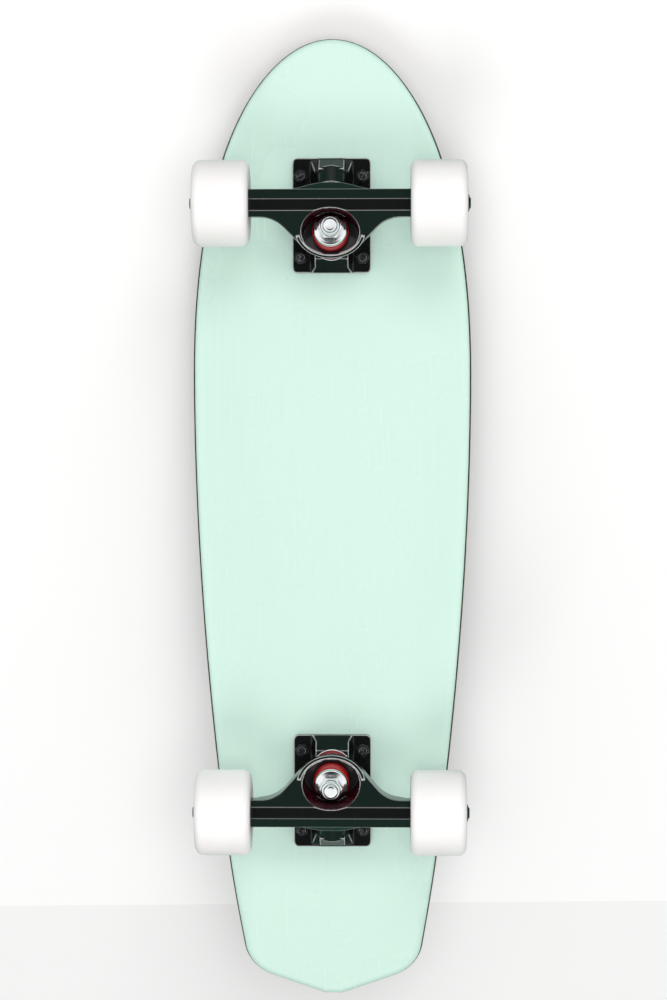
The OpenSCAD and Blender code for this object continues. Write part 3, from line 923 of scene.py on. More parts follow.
class Finishes:
    """Every finish of the board, built once."""

    def __init__(self) -> None:
        """Builds all the materials."""
        self.mint = MintPaint().build()
        self.dyed = Maple("dyed_maple", (0.008, 0.008, 0.007), (0.004, 0.004, 0.004), 0.5).build()
        self.maple = Maple("maple_edge", (0.620, 0.390, 0.190), (0.420, 0.230, 0.095)).build()
        self.maple_dark = Maple("maple_edge_dark", (0.480, 0.270, 0.115), (0.300, 0.150, 0.060)).build()
        self.grip = GripSheet().build()
        # Black casting: its near-white edge colour, filled solid along sharp edges, paints highlight lines
        # on them.
        self.casting = GlossPaint(
            "black_gloss_casting",
            (0.006, 0.007, 0.007),
            (0.80, 0.82, 0.81),
            0.16,
            wear=0.9,
            even=0.75,
            coat=0.12,
            shine=0.35,
            edge_start=0.511,
            edge_full=0.543,
        ).build()
        # Dark red for the inside of the bowl: a painted reflection of the red bushing on the black casting.
        self.bowl = GlossPaint(
            "maroon_gloss_bowl", (0.040, 0.003, 0.008), (0.62, 0.64, 0.64), 0.2, wear=0.3
        ).build()
        self.black_steel = GlossPaint(
            "black_oxide_steel", (0.010, 0.010, 0.011), (0.75, 0.76, 0.76), 0.28, 0.03, 0.3, 0.1
        ).build()
        self.zinc = BareMetal("bright_zinc", (0.86, 0.88, 0.89), (0.62, 0.65, 0.68), 0.16).build()
        self.bearing = BareMetal("bearing_steel", (0.66, 0.67, 0.69), (0.45, 0.46, 0.49), 0.2).build()
        self.axle = BareMetal("dark_axle_steel", (0.10, 0.10, 0.11), (0.05, 0.05, 0.055), 0.3).build()
        self.brass = BareMetal("cage_brass", (0.72, 0.50, 0.20), (0.45, 0.30, 0.12), 0.28).build()
        self.red = Urethane("red_urethane", (0.46, 0.006, 0.012), (0.36, 0.004, 0.008), 0.34, 0.08).build()
        self.white = Urethane("white_urethane", (0.925, 0.91, 0.90), (0.915, 0.88, 0.865)).build()
        self.ring = Urethane(
            "printed_yellow_ring", (0.90, 0.80, 0.32), (0.86, 0.74, 0.26), 0.35, 0.05
        ).build()
        self.cup = Urethane("black_cup_plastic", (0.012, 0.012, 0.012), (0.02, 0.02, 0.02), 0.4, 0.0).build()
        self.nylon = Urethane("nylon_collar", (0.72, 0.73, 0.74), (0.60, 0.61, 0.62), 0.4, 0.0).build()


def dress(obj: bpy.types.Object, *materials: bpy.types.Material) -> None:
    """Gives an object its materials, in slot order.

    Args:
        obj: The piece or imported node.
        *materials: The materials.
    """
    obj.data.materials.clear()
    for material in materials:
        obj.data.materials.append(material)


def finish_piece(obj: bpy.types.Object, body: str, nodes: Iterable[str] = ()) -> None:
    """Says what a finished piece rides on and stands for.

    Args:
        obj: The piece.
        body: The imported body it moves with.
        nodes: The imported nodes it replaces.
    """
    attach(obj, body)
    if nodes:
        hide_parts(*nodes)
    LOG.info("%s rides on %s (%d faces)", obj.name, body, len(obj.data.polygons))


# ---------------------------------------------------------------- deck


@dataclass
class Outline:
    """The deck's outline and its rise along the board, in millimetres."""

    s: BoardSizes = SIZES

    def side(self, x: float) -> float:
        """Half width along the straight-looking side."""
        draw_in = self.s.side_taper * (abs(self.s.wide_x - x) / self.s.side_run) ** self.s.side_power
        return self.s.half - draw_in

    def __post_init__(self) -> None:
        """Works out the tail's arcs from the driving sizes."""
        s = self.s
        run = (s.wide_x - s.corner_x) / s.side_run
        slope = s.side_taper * s.side_power / s.side_run * run ** (s.side_power - 1)
        turn = math.atan(slope)
        edge = math.radians(s.edge_deg)
        self.corner = (
            s.corner_x + s.corner_r * math.sin(turn),
            self.side(s.corner_x) - s.corner_r * math.cos(turn),
        )
        self.edge_p = (
            self.corner[0] - s.corner_r * math.cos(edge),
            self.corner[1] + s.corner_r * math.sin(edge),
        )
        self.tip_c = self.edge_p[0] + (s.tip_r - math.sin(edge) * self.edge_p[1]) / math.cos(edge)
        self.tip_q = self.tip_c - s.tip_r * math.cos(edge)
        self.tail_x = self.tip_c - s.tip_r
        lift = s.edge_r * (math.sin(math.radians(s.tail_deg)) - math.sin(math.radians(s.nose_deg)))
        self.nose_end, self.tail_end = s.nose_x - 0.15, self.tail_x + 0.4
        self.mid = (self.nose_end + self.tail_end + lift) / 2

    def half(self, x: float) -> float:
        """Half width of the deck.

        Args:
            x: Place along the board from midway between the trucks.

        Returns:
            The half width.
        """
        s = self.s
        if x > s.wide_x:
            t = (x - s.wide_x) / (s.nose_x - s.wide_x)
            return s.half * math.sqrt(max(0.0, 1 - t**s.nose_power))
        if x > s.corner_x:
            return self.side(x)
        if x > self.edge_p[0]:
            return self.corner[1] + math.sqrt(max(0.0, s.corner_r**2 - (x - self.corner[0]) ** 2))
        if x > self.tip_q:
            return self.edge_p[1] - (self.edge_p[0] - x) / math.tan(math.radians(s.edge_deg))
        return math.sqrt(max(0.0, s.tip_r**2 - (x - self.tip_c) ** 2))

    def bend(self, d: float, r: float, degrees: float) -> tuple[float, float]:
        """Rise and slope angle at a distance past a bend's start.

        Args:
            d: Distance past the start.
            r: Radius of the bend.
            degrees: Angle at the bend's end.

        Returns:
            The rise and the slope angle in radians.
        """
        a = math.radians(degrees)
        if d <= 0:
            return 0.0, 0.0
        if d < r * math.sin(a):
            return r - math.sqrt(r * r - d * d), math.asin(d / r)
        return r * (1 - math.cos(a)) + (d - r * math.sin(a)) * math.tan(a), a

    def dish(self, x: float, y: float) -> float:
        """Rise of the underside across the board.

        Args:
            x: Place along the board from midway between the trucks.
            y: Place across the board from its middle.

        Returns:
            The rise over the flat middle band.
        """
        s = self.s
        fade = 1 - 0.6 * min(1.0, max(0.0, (abs(x) - 180) / 150)) ** 2
        return s.concave * fade * (max(0.0, abs(y) - s.flat_y) / (s.half - s.flat_y)) ** 2

    def point(self, x: float, share: float, depth: float) -> Vector:
        """A point of the deck in the part's frame.

        Args:
            x: Place along the board from midway between the trucks.
            share: Place across, from -1 to 1.
            depth: Height above the underside.

        Returns:
            The point in metres.
        """
        s = self.s
        e0 = s.edge_r - min(s.edge_r, depth, s.thick - depth)
        inset = s.edge_r - math.sqrt(max(0.0, s.edge_r**2 - e0 * e0))
        slope = (self.half(x + 0.05) - self.half(x - 0.05)) / 0.1
        size = math.hypot(1, slope)
        px = x + inset * slope / size
        half = max(0.0, self.half(x) - inset / size)
        rise_n, turn_n = self.bend(px - s.nose_bend, s.nose_bend_r, s.nose_deg)
        rise_t, turn_t = self.bend(s.tail_bend - px, s.tail_bend_r, s.tail_deg)
        turn = turn_n - turn_t
        dish = self.dish(px, share * half)
        return (
            Vector(
                (
                    px - self.mid - depth * math.sin(turn),
                    share * half,
                    s.deck_z + rise_n + rise_t + dish + depth * math.cos(turn),
                )
            )
            * MM
        )

    def stations(self) -> list[float]:
        """Places along the board for the deck's cross sections.

        Returns:
            The places from tail to nose, closest where the outline turns.
        """
        s = self.s
        xs = [self.tail_end + (self.tip_q - self.tail_end) * (i / 8) ** 1.6 for i in range(8)]
        xs += [self.tip_q + (self.edge_p[0] - self.tip_q) * i / 6 for i in range(6)]
        xs += [self.edge_p[0] + (s.corner_x - self.edge_p[0]) * (i / 20) ** 1.7 for i in range(20)]
        xs += [s.corner_x + (s.tail_bend - s.corner_x) * i / 24 for i in range(24)]
        xs += [s.tail_bend + (s.wide_x - s.tail_bend) * i / 30 for i in range(30)]
        xs += [s.wide_x + (s.nose_bend - s.wide_x) * i / 18 for i in range(18)]
        xs += [s.nose_bend + (self.nose_end - s.nose_bend) * (1 - (1 - i / 40) ** 2) for i in range(41)]
        return xs


@dataclass
class Deck:
    """The seven plies and the grip sheet."""

    finishes: Finishes
    outline: Outline = field(default_factory=Outline)
    across: int = 36
    edge_steps: int = 3

    def layer(self, name: str, low: float, high: float) -> bpy.types.Object:
        """One closed layer between two heights above the underside.

        A grid is added with one row for each cross section; each row is then
        wrapped into a closed section and the seam and ends are closed.

        Args:
            name: The piece's name.
            low: Height of its lower face.
            high: Height of its upper face.

        Returns:
            The layer.
        """
        xs = self.outline.stations()
        even = [2 * j / self.across - 1 for j in range(self.across + 1)]
        shares = [math.sin(math.pi / 2 * t) * 0.35 + t * 0.65 for t in even]
        ring = [(share, low) for share in shares]
        ring += [(1.0, low + (high - low) * k / self.edge_steps) for k in range(1, self.edge_steps)]
        ring += [(share, high) for share in reversed(shares)]
        ring += [(-1.0, high - (high - low) * k / self.edge_steps) for k in range(1, self.edge_steps + 1)]
        rows, cols = len(xs), len(ring)
        deselect_all()
        bpy.ops.mesh.primitive_grid_add(x_subdivisions=cols - 1, y_subdivisions=rows - 1, size=1)
        obj = bpy.context.active_object
        obj.name = name
        for i, x in enumerate(xs):
            for j, (share, depth) in enumerate(ring):
                obj.data.vertices[i * cols + j].co = self.outline.point(x, share, depth)
        bpy.ops.object.mode_set(mode="EDIT")
        bpy.ops.mesh.select_all(action="SELECT")
        bpy.ops.mesh.remove_doubles(threshold=0.001 * MM)
        bpy.ops.mesh.fill_holes(sides=0)
        bpy.ops.object.mode_set(mode="OBJECT")
        turn_outward(obj)
        smooth(obj, 30)
        return obj

    def well_cutter(self, end: End, side: Side) -> bpy.types.Object:
        """The big round cutter of one wheel well.

        Args:
            end: Which end of the board.
            side: Which side of the board.

        Returns:
            The cutter, with a mint finish.
        """
        s = self.outline.s
        edge = self.outline.dish(0, s.well_y) + s.well_depth
        tilt = math.atan(edge / s.well_reach)
        x = (end.value * (s.span / 2 + s.axle_u) - self.outline.mid) * MM
        deselect_all()
        bpy.ops.mesh.primitive_cylinder_add(vertices=720, radius=s.well_r * MM, depth=80 * MM)
        obj = bpy.context.active_object
        height = (s.deck_z + edge * (1 - 13 / s.well_reach)) * MM
        lay = Matrix.Rotation(math.pi / 2, 4, "X")
        drop = Matrix.Translation((0, 0, -s.well_r * MM))
        lean = Matrix.Rotation(side.value * tilt, 4, "X")
        place(obj, Matrix.Translation((x, side.value * (s.well_y - 13) * MM, height)) @ lean @ drop @ lay)
        dress(obj, self.finishes.mint)
        return obj

    def hole_cutter(self, diameter: float) -> bpy.types.Object:
        """Eight cylinders through the deck at the mounting bolts.

        Args:
            diameter: Diameter of the holes in millimetres.

        Returns:
            The joined cutter.
        """
        pins = []
        for node in ("front_baseplate", "rear_baseplate"):
            low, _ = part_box(node)
            end = 1 if low.x > 0 else -1
            centre = end * (self.outline.s.span / 2) - self.outline.mid
            for bx in (-27, 27):
                for by in (-20.65, 20.65):
                    deselect_all()
                    bpy.ops.mesh.primitive_cylinder_add(
                        vertices=48,
                        radius=diameter / 2 * MM,
                        depth=0.05,
                        location=((centre + bx) * MM, by * MM, (self.outline.s.deck_z + 5) * MM),
                    )
                    pins.append(freeze(bpy.context.active_object))
        return join("bolt_holes", pins)

    def build(self) -> None:
        """Builds and dresses all the layers."""
        s, f = self.outline.s, self.finishes
        t = s.ply
        plan = [
            ("deck_underside", "deck_bottom_ply", 0, t, f.mint, "mint_paint"),
            ("deck_black_ply", "deck_dyed_ply", t, 2 * t, f.dyed, "dyed_maple"),
            ("deck_maple_ply_3", "deck_ply_3", 2 * t, 3 * t, f.maple, "maple"),
            ("deck_maple_ply_4", "deck_ply_4", 3 * t, 4 * t, f.maple_dark, "maple"),
            ("deck_maple_ply_5", "deck_ply_5", 4 * t, 5 * t, f.maple, "maple"),
            ("deck_maple_ply_6", "deck_ply_6", 5 * t, 6 * t, f.maple_dark, "maple"),
            ("deck_top_maple_ply", "deck_top_ply", 6 * t, 7 * t, f.maple, "maple"),
            ("grip_sheet", "grip_tape", 7 * t, s.thick, f.grip, "grip"),
        ]
        for name, node, low, high, main, slot in plan:
            layer = self.layer(name, low, high)
            dress(layer, main)
            if low < 3 * t:
                for end in End:
                    for side in Side:
                        cut(layer, self.well_cutter(end, side))
                smooth(layer, 30)
            if node == "grip_tape":
                cut(layer, self.hole_cutter(9.5))
                smooth(layer, 30)
            finish_piece(layer, "deck", [node])


# ---------------------------------------------------------------- fasteners


def thread(r: float, low: float, high: float, pitch: float) -> list[tuple[float, float]]:
    """Profile points of a threaded length, from low to high.

    Args:
        r: Outside radius in millimetres.
        low: Height where the thread starts.
        high: Height where it ends.
        pitch: Distance between crests.

    Returns:
        The points.
    """
    points = []
    for i in range(int((high - low) / pitch)):
        z = low + i * pitch
        points += [(r, z), (r - 0.45 * pitch, z + 0.45 * pitch), (r, z + 0.9 * pitch)]
    return points


def hex_block(name: str, flats: float, low: float, high: float, ease: float) -> bpy.types.Object:
    """A hexagonal block with rounded-off corners, along local z.

    Args:
        name: The piece's name.
        flats: Width across the flats in millimetres.
        low: Height of its lower end.
        high: Height of its upper end.
        ease: How far the corners are turned down at each end.

    Returns:
        The block about the local z axis.
    """
    deselect_all()
    bpy.ops.mesh.primitive_cylinder_add(
        vertices=6,
        radius=flats / 2 / math.cos(math.pi / 6) * MM,
        depth=(high - low) * MM,
        location=(0, 0, (low + high) / 2 * MM),
    )
    obj = freeze(bpy.context.active_object)
    obj.name = name
    r = flats / 2
    corner = r / math.cos(math.pi / 6) + 0.3
    spun = [(0, low), (r - ease * 0.4, low), (r + 0.1, low + 0.15)]
    spun += [(corner, low + ease), (corner, high - ease)]
    spun += [(r + 0.1, high - 0.15), (r - ease * 0.4, high), (0, high)]
    keep = turned(f"{name}_shape", spun, 72)
    add_modifier(obj, "BOOLEAN", operation="INTERSECT", solver="EXACT", object=keep)
    bpy.data.objects.remove(keep)
    add_modifier(
        obj, "BEVEL", width=0.12 * MM, segments=2, limit_method="ANGLE", angle_limit=math.radians(35)
    )
    return obj


@dataclass
class LockNut:
    """A hexagonal nut with a rounded collar and a nylon ring."""

    name: str
    flats: float
    height: float
    collar_r: float
    bore_r: float
    hex_h: float
    steel: bpy.types.Material
    nylon: bpy.types.Material

    def build(self) -> bpy.types.Object:
        """Builds the nut on local z from 0 to its height.

        Returns:
            The nut, with steel and nylon finishes.
        """
        body = hex_block(f"{self.name}_hex", self.flats, 0, self.hex_h, 0.7)
        bore = turned(f"{self.name}_bore", [(0, -1), (self.bore_r, -1), (self.bore_r, 20), (0, 20)], 48)
        cut(body, bore)
        dress(body, self.steel)
        top, c = self.height, self.collar_r
        lip = self.bore_r + 0.9
        shell = [(c, self.hex_h - 0.3)] + round_corner(c - 1.1, top - 1.1, 1.1, 0, 90, 6)
        shell += [(lip, top), (lip, top - 0.7), (lip, self.hex_h - 0.3)]
        collar = turned(f"{self.name}_collar", shell, 64)
        dress(collar, self.steel)
        ring_top = top - 0.45
        low = self.hex_h - 0.2
        soft = [(self.bore_r + 0.05, low), (lip - 0.02, low)]
        soft += [(lip - 0.02, ring_top), (self.bore_r + 0.05, ring_top)]
        ring = turned(f"{self.name}_ring", soft, 48)
        dress(ring, self.nylon)
        nut = join(self.name, [body, collar, ring])
        smooth(nut, 32)
        return nut


@dataclass
class Hardware:
    """The eight mounting bolts and their lock nuts."""

    finishes: Finishes
    outline: Outline = field(default_factory=Outline)

    def spots(self) -> list[tuple[float, float]]:
        """Places of the eight bolts.

        Returns:
            Their x and y in millimetres.
        """
        s = self.outline.s
        return [
            (end.value * s.span / 2 - self.outline.mid + bx, by)
            for end in End
            for bx in (-27.0, 27.0)
            for by in (-20.65, 20.65)
        ]

    def bolt(self) -> bpy.types.Object:
        """One countersunk bolt with a cross recess, head up at local z 0.

        Returns:
            The bolt.
        """
        r, head, length = 2.4, 4.65, 25.4
        body = [(0, -length), (r - 0.5, -length), (r, -length + 0.5)]
        body += thread(r, -length + 0.6, -9, 0.79)
        body += [(r, -2.95), (head, -0.3), (head - 0.1, -0.2), (0, -0.2)]
        bolt = turned("bolt", body, 40)
        for turn in (0, math.pi / 2):
            deselect_all()
            bpy.ops.mesh.primitive_cube_add(size=MM)
            slot = bpy.context.active_object
            slot.scale = (5.2, 0.95, 3.2)
            slot.rotation_euler = (0, 0, turn)
            cut(bolt, freeze(slot))
        smooth(bolt, 30)
        return bolt

    def build(self) -> None:
        """Builds and dresses the bolts and nuts."""
        s, f = self.outline.s, self.finishes
        top = (s.deck_z + s.thick) * MM
        first = self.bolt()
        dress(first, f.black_steel)
        bolts = [twin(first, "bolt", Matrix.Translation((x * MM, y * MM, top))) for x, y in self.spots()]
        bpy.data.objects.remove(first)
        finish_piece(join("bolts", bolts), "deck", ["mounting_bolts"])
        nut = LockNut("lock_nut", 7.9, 5.0, 3.8, 2.42, 3.4, f.black_steel, f.nylon).build()
        flip = Matrix.Rotation(math.pi, 4, "X")
        seat = (s.deck_z - 5) * MM
        nuts = []
        for i, (x, y) in enumerate(self.spots()):
            spin = Matrix.Rotation(math.radians(13 + 47 * i), 4, "Z")
            nuts.append(twin(nut, "nut", Matrix.Translation((x * MM, y * MM, seat)) @ flip @ spin))
        bpy.data.objects.remove(nut)
        finish_piece(join("lock_nuts", nuts), "deck", ["mounting_nuts"])


# ---------------------------------------------------------------- trucks


@dataclass
class Truck:
    """One truck: castings, kingpin stack, axle and fasteners."""

    finishes: Finishes
    end: End
    outline: Outline = field(default_factory=Outline)

    @property
    def word(self) -> str:
        """The prefix of this truck's nodes."""
        return self.end.name.lower()

    def frame_matrix(self) -> Matrix:
        """Truck coordinates to the part's frame.

        In truck coordinates x points outward to the board's end and z from
        the deck's underside down to the road.

        Returns:
            The matrix.
        """
        s = self.outline.s
        x = (self.end.value * s.span / 2 - self.outline.mid) * MM
        turn = Matrix.Rotation(math.pi, 4, "X" if self.end is End.FRONT else "Y")
        return Matrix.Translation((x, 0, s.deck_z * MM)) @ turn

    def kingpin_matrix(self, along: float) -> Matrix:
        """Local z along the kingpin, from a distance along it.

        Args:
            along: Distance from the deck's underside in millimetres.

        Returns:
            The matrix.
        """
        s = self.outline.s
        lean = Matrix.Rotation(math.radians(s.kp_deg), 4, "Y")
        start = Matrix.Translation((s.kp_u * MM, 0, 0))
        return self.frame_matrix() @ start @ lean @ Matrix.Translation((0, 0, along * MM))

    def casting(self, node: str, name: str, body: str, extra: Sequence[bpy.types.Object] = ()) -> None:
        """A cast part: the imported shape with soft, filleted edges.

        Args:
            node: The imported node.
            name: The piece's name.
            body: The body it rides on.
            extra: Details that are cast on.
        """
        obj = copy_of(node, name)
        add_modifier(obj, "REMESH", mode="VOXEL", voxel_size=0.5 * MM, adaptivity=0.0)
        add_modifier(obj, "SMOOTH", factor=0.5, iterations=3)
        smooth(obj, 60)
        dress(obj, self.finishes.casting, self.finishes.bowl)
        # Casting faces inside the bowl get a painted red reflection of the bushing.
        self.paint_bushing_reflection(obj)
        if extra:
            obj = join(name, [obj, *extra])
        finish_piece(obj, body, [node])

    def paint_bushing_reflection(self, obj: bpy.types.Object) -> None:
        """Paints a red reflection of the bushing on the inside of its bowl, with the dark red material.

        Args:
            obj: The casting, in place.
        """
        to_pin = self.kingpin_matrix(0.0).inverted()

        def inside(c: Vector, n: Vector) -> bool:
            """Whether a face looks at the kingpin from within the bowl."""
            p = to_pin @ c / MM
            look = to_pin.to_3x3() @ n
            out = Vector((p.x - 3.0, p.y, 0.0))
            return p.z > 33.8 and out.length < 20.5 and look.z < 0.55 and look.dot(out.normalized()) < -0.2

        activate(obj)
        bpy.ops.object.mode_set(mode="EDIT")
        select_faces(obj, inside)
        obj.active_material_index = 1
        bpy.ops.object.material_slot_assign()
        bpy.ops.object.mode_set(mode="OBJECT")

    def lip_rib(self) -> bpy.types.Object:
        """The raised crescent around the bowl's outer lip.

        Returns:
            The rib, in place.
        """
        low = Vector((-28.4, 0, 32.8))
        high = Vector((self.outline.s.axle_u - 5.1, 0, self.outline.s.axle_h + 9.1))
        slope = math.atan2(high.z - low.z, high.x - low.x)
        edge = [(20.3, -1.0), (22.8, -1.0), (22.8, 0.3), (22.8, 0.8)]
        edge += [(22.6, 1.0), (22.2, 1.0), (21.9, 1.0), (21.2, 1.0)]
        edge += [(20.9, 1.0), (20.5, 1.0), (20.3, 0.8), (20.3, 0.3)]
        half_arc = 80
        rib = turned(f"{self.word}_rib", edge, 60, 2 * half_arc)
        start = Matrix.Rotation(math.radians(180 + half_arc), 4, "Z")
        lean = Matrix.Rotation(-slope, 4, "Y")
        base = Matrix.Translation(low * MM)
        place(rib, self.frame_matrix() @ base @ lean @ Matrix.Translation((24 * MM, 0, 0)) @ start)
        smooth(rib, 25)
        dress(rib, self.finishes.casting)
        return rib

    def on_kingpin(
        self, obj: bpy.types.Object, along: float, node: str, flip: bool = False
    ) -> None:
        """Places a piece of the kingpin stack and finishes it.

        Args:
            obj: The piece about local z.
            along: Where its local origin goes along the kingpin.
            node: The part of the node's name after the truck's word.
            flip: Whether its local z points back to the deck.
        """
        turn = Matrix.Rotation(math.pi if flip else 0.0, 4, "X")
        place(obj, self.kingpin_matrix(along) @ turn)
        finish_piece(obj, "deck", [f"{self.word}_{node}"])

    def cup_washer(self, name: str, r: float) -> bpy.types.Object:
        """A pressed cup washer: outer face at local z 0, rim towards +z.

        Args:
            name: The piece's name.
            r: Its radius in millimetres.

        Returns:
            The washer.
        """
        face = [(4.85, 0.0), (r - 3.1, 0.0), (r - 2.6, 0.12), (r - 2.0, 0.5)]
        face += [(r - 1.2, 0.62), (r - 0.5, 1.0), (r - 0.1, 1.6)]
        rim = [(r, 2.3), (r - 0.05, 3.0), (r - 0.3, 3.2), (r - 0.6, 3.2)]
        rim += [(r - 0.75, 2.9), (r - 0.78, 2.4), (r - 1.1, 2.02)]
        washer = turned(name, face + rim + [(4.85, 2.0)], 96)
        smooth(washer, 30)
        dress(washer, self.finishes.zinc)
        return washer

    def bushing(self, name: str, length: float, seat_low: bool) -> bpy.types.Object:
        """A urethane bushing from local z 0 to its length.

        Args:
            name: The piece's name.
            length: Its length in millimetres.
            seat_low: Whether the end in the cup washer is the low one.

        Returns:
            The bushing.
        """
        shoulder = round_corner(8.9 if seat_low else 10.3, length - 1.7, 1.68, 90, 0, 6)
        if seat_low:
            side = [(10.2, 6.6), (9.8, 3.0), (9.6, 0.6), (9.4, 0.2), (9.2, 0.0)]
        else:
            side = [(11.98, 2.6), (11.7, 1.75), (10.9, 1.45), (10.45, 1.35), (10.45, 0.3), (10.2, 0.0)]
        body = [(4.8, length), *shoulder, *side, (4.8, 0.0)]
        if not seat_low:
            body = [(r, length - z) for r, z in body]
        piece = turned(name, body, 96)
        smooth(piece, 35)
        dress(piece, self.finishes.red)
        return piece

    def kingpin(self) -> bpy.types.Object:
        """The kingpin: hexagonal head, plain shank and threaded end.

        Returns:
            The kingpin along local z, from the deck's underside.
        """
        r = 4.72
        head = hex_block(f"{self.word}_pin_head", 13.9, 2.6, 7.6, 0.8)
        body = [(0, 5.0), (r, 5.0), (r, 38.0)] + thread(r, 38.2, 55.4, 1.06)
        body += [(r, 55.9), (r - 0.25, 56.5), (r - 1.0, 56.95), (r - 1.5, 57.0), (0, 57.0)]
        shank = turned(f"{self.word}_pin_shank", body, 64)
        dress(head, self.finishes.zinc)
        dress(shank, self.finishes.zinc)
        pin = join(f"{self.word}_kingpin_bolt", [head, shank])
        smooth(pin, 30)
        return pin

    def axle(self) -> None:
        """The axle with its threaded ends, and its two lock nuts."""
        s, w, f = self.outline.s, self.word, self.finishes
        r, half = 3.98, 91.0
        tip = [(r - 0.25, half - 0.5), (r - 0.9, half), (0, half)]
        side = [(r, 84.0)] + thread(r, 84.1, half - 0.9, 1.0) + tip
        body = [(a, -b) for a, b in reversed(side)] + side
        rod = turned(f"{w}_axle_rod", body, 64)
        x = (self.end.value * (s.span / 2 + s.axle_u) - self.outline.mid) * MM
        centre = (x, 0, s.wheel_d / 2 * MM)
        place(rod, axis_matrix(centre, (0, 1, 0)))
        smooth(rod, 30)
        dress(rod, f.axle)
        finish_piece(rod, f"{w}_hanger_set", [f"{w}_axle"])
        nut = LockNut(f"{w}_nut", 12.65, 6.6, 5.78, 4.02, 4.6, f.black_steel, f.nylon).build()
        pair = []
        for side_of in Side:
            spot = axis_matrix(centre, (0, side_of.value, 0)) @ Matrix.Translation((0, 0, 83.5 * MM))
            pair.append(twin(nut, f"{w}_nut_{side_of.name.lower()}", spot))
        bpy.data.objects.remove(nut)
        finish_piece(join(f"{w}_axle_lock_nuts", pair), f"{w}_hanger_set", [f"{w}_axle_nuts"])

    def build(self) -> None:
        """Builds and dresses the truck."""
        w, f = self.word, self.finishes
        self.casting(f"{w}_baseplate", f"{w}_base_casting", "deck")
        self.casting(f"{w}_hanger", f"{w}_hanger_casting", f"{w}_hanger_set", [self.lip_rib()])
        self.on_kingpin(self.kingpin(), 0.0, "kingpin")
        inner = self.cup_washer(f"{w}_deck_side_washer", 13.0)
        self.on_kingpin(inner, 11.5, "board_cup_washer")
        deck_side = self.bushing(f"{w}_deck_side_bushing", 14.0, True)
        self.on_kingpin(deck_side, 13.5, "board_bushing")
        road_side = self.bushing(f"{w}_road_side_bushing", 11.0, False)
        self.on_kingpin(road_side, 33.5, "road_bushing")
        road = self.cup_washer(f"{w}_road_side_washer", 11.4)
        self.on_kingpin(road, 46.5, "road_cup_washer", True)
        nut = LockNut(f"{w}_pin_nut", 13.9, 8.0, 6.45, 4.76, 5.6, f.zinc, f.nylon).build()
        self.on_kingpin(nut, 46.5, "kingpin_nut")
        self.axle()
        for node, material in (
            ("pivot_cup", f.cup),
            ("inner_rings", f.bearing),
            ("bearing_spacers", f.bearing),
            ("speed_washers", f.bearing),
        ):
            dress(frame["nodes"][f"{w}_{node}"], material)


@dataclass
class Wheel:
    """One wheel with its bearings."""

    finishes: Finishes
    end: End
    side: Side
    outline: Outline = field(default_factory=Outline)

    @property
    def tag(self) -> str:
        """The suffix of this wheel's nodes."""
        return self.end.name[0].lower() + self.side.name[0].lower()

    def build(self) -> None:
        """Builds and dresses the wheel."""
        f, s = self.finishes, self.outline.s
        nodes = frame["nodes"]
        r, h, lip = s.wheel_d / 2, s.wheel_w / 2, 5.5
        seat, out = 5.0, 12.0
        print_r = (18.6, 20.6)
        half = [(9.6, 0.0), (9.6, seat), (11.0, seat), (11.0, out), (11.5, out + 0.4)]
        half += [(15.9, h - 0.75), (16.4, h - 0.2), (16.9, h), (print_r[0], h), (print_r[1], h)]
        half += round_corner(r - lip, h - lip, lip, 90, 0, 12)
        profile = half + [(a, -b) for a, b in reversed(half[1:])]
        wheel = turned(f"wheel_tread_{self.tag}", profile, 128)
        dress(wheel, f.white, f.ring)
        activate(wheel)
        bpy.ops.object.mode_set(mode="EDIT")
        mid = sum(print_r) / 2 * MM
        select_faces(
            wheel,
            lambda c, n: n.z > 0.9 and abs(math.hypot(c.x, c.y) - mid) < 0.6 * MM and c.z > h * MM * 0.99,
        )
        wheel.active_material_index = 1
        bpy.ops.object.material_slot_assign()
        bpy.ops.object.mode_set(mode="OBJECT")
        x = (self.end.value * (s.span / 2 + s.axle_u) - self.outline.mid) * MM
        centre = (x, self.side.value * s.wheel_y * MM, r * MM)
        place(wheel, axis_matrix(centre, (0, self.side.value, 0)))
        smooth(wheel, 40)
        finish_piece(wheel, f"wheel_{self.tag}_set", [f"wheel_{self.tag}"])
        for node, material in (
            ("outer_rings", f.bearing),
            ("shields", f.bearing),
            ("balls", f.bearing),
            ("cages", f.brass),
        ):
            dress(nodes[f"{node}_{self.tag}"], material)


# ---------------------------------------------------------------- stage


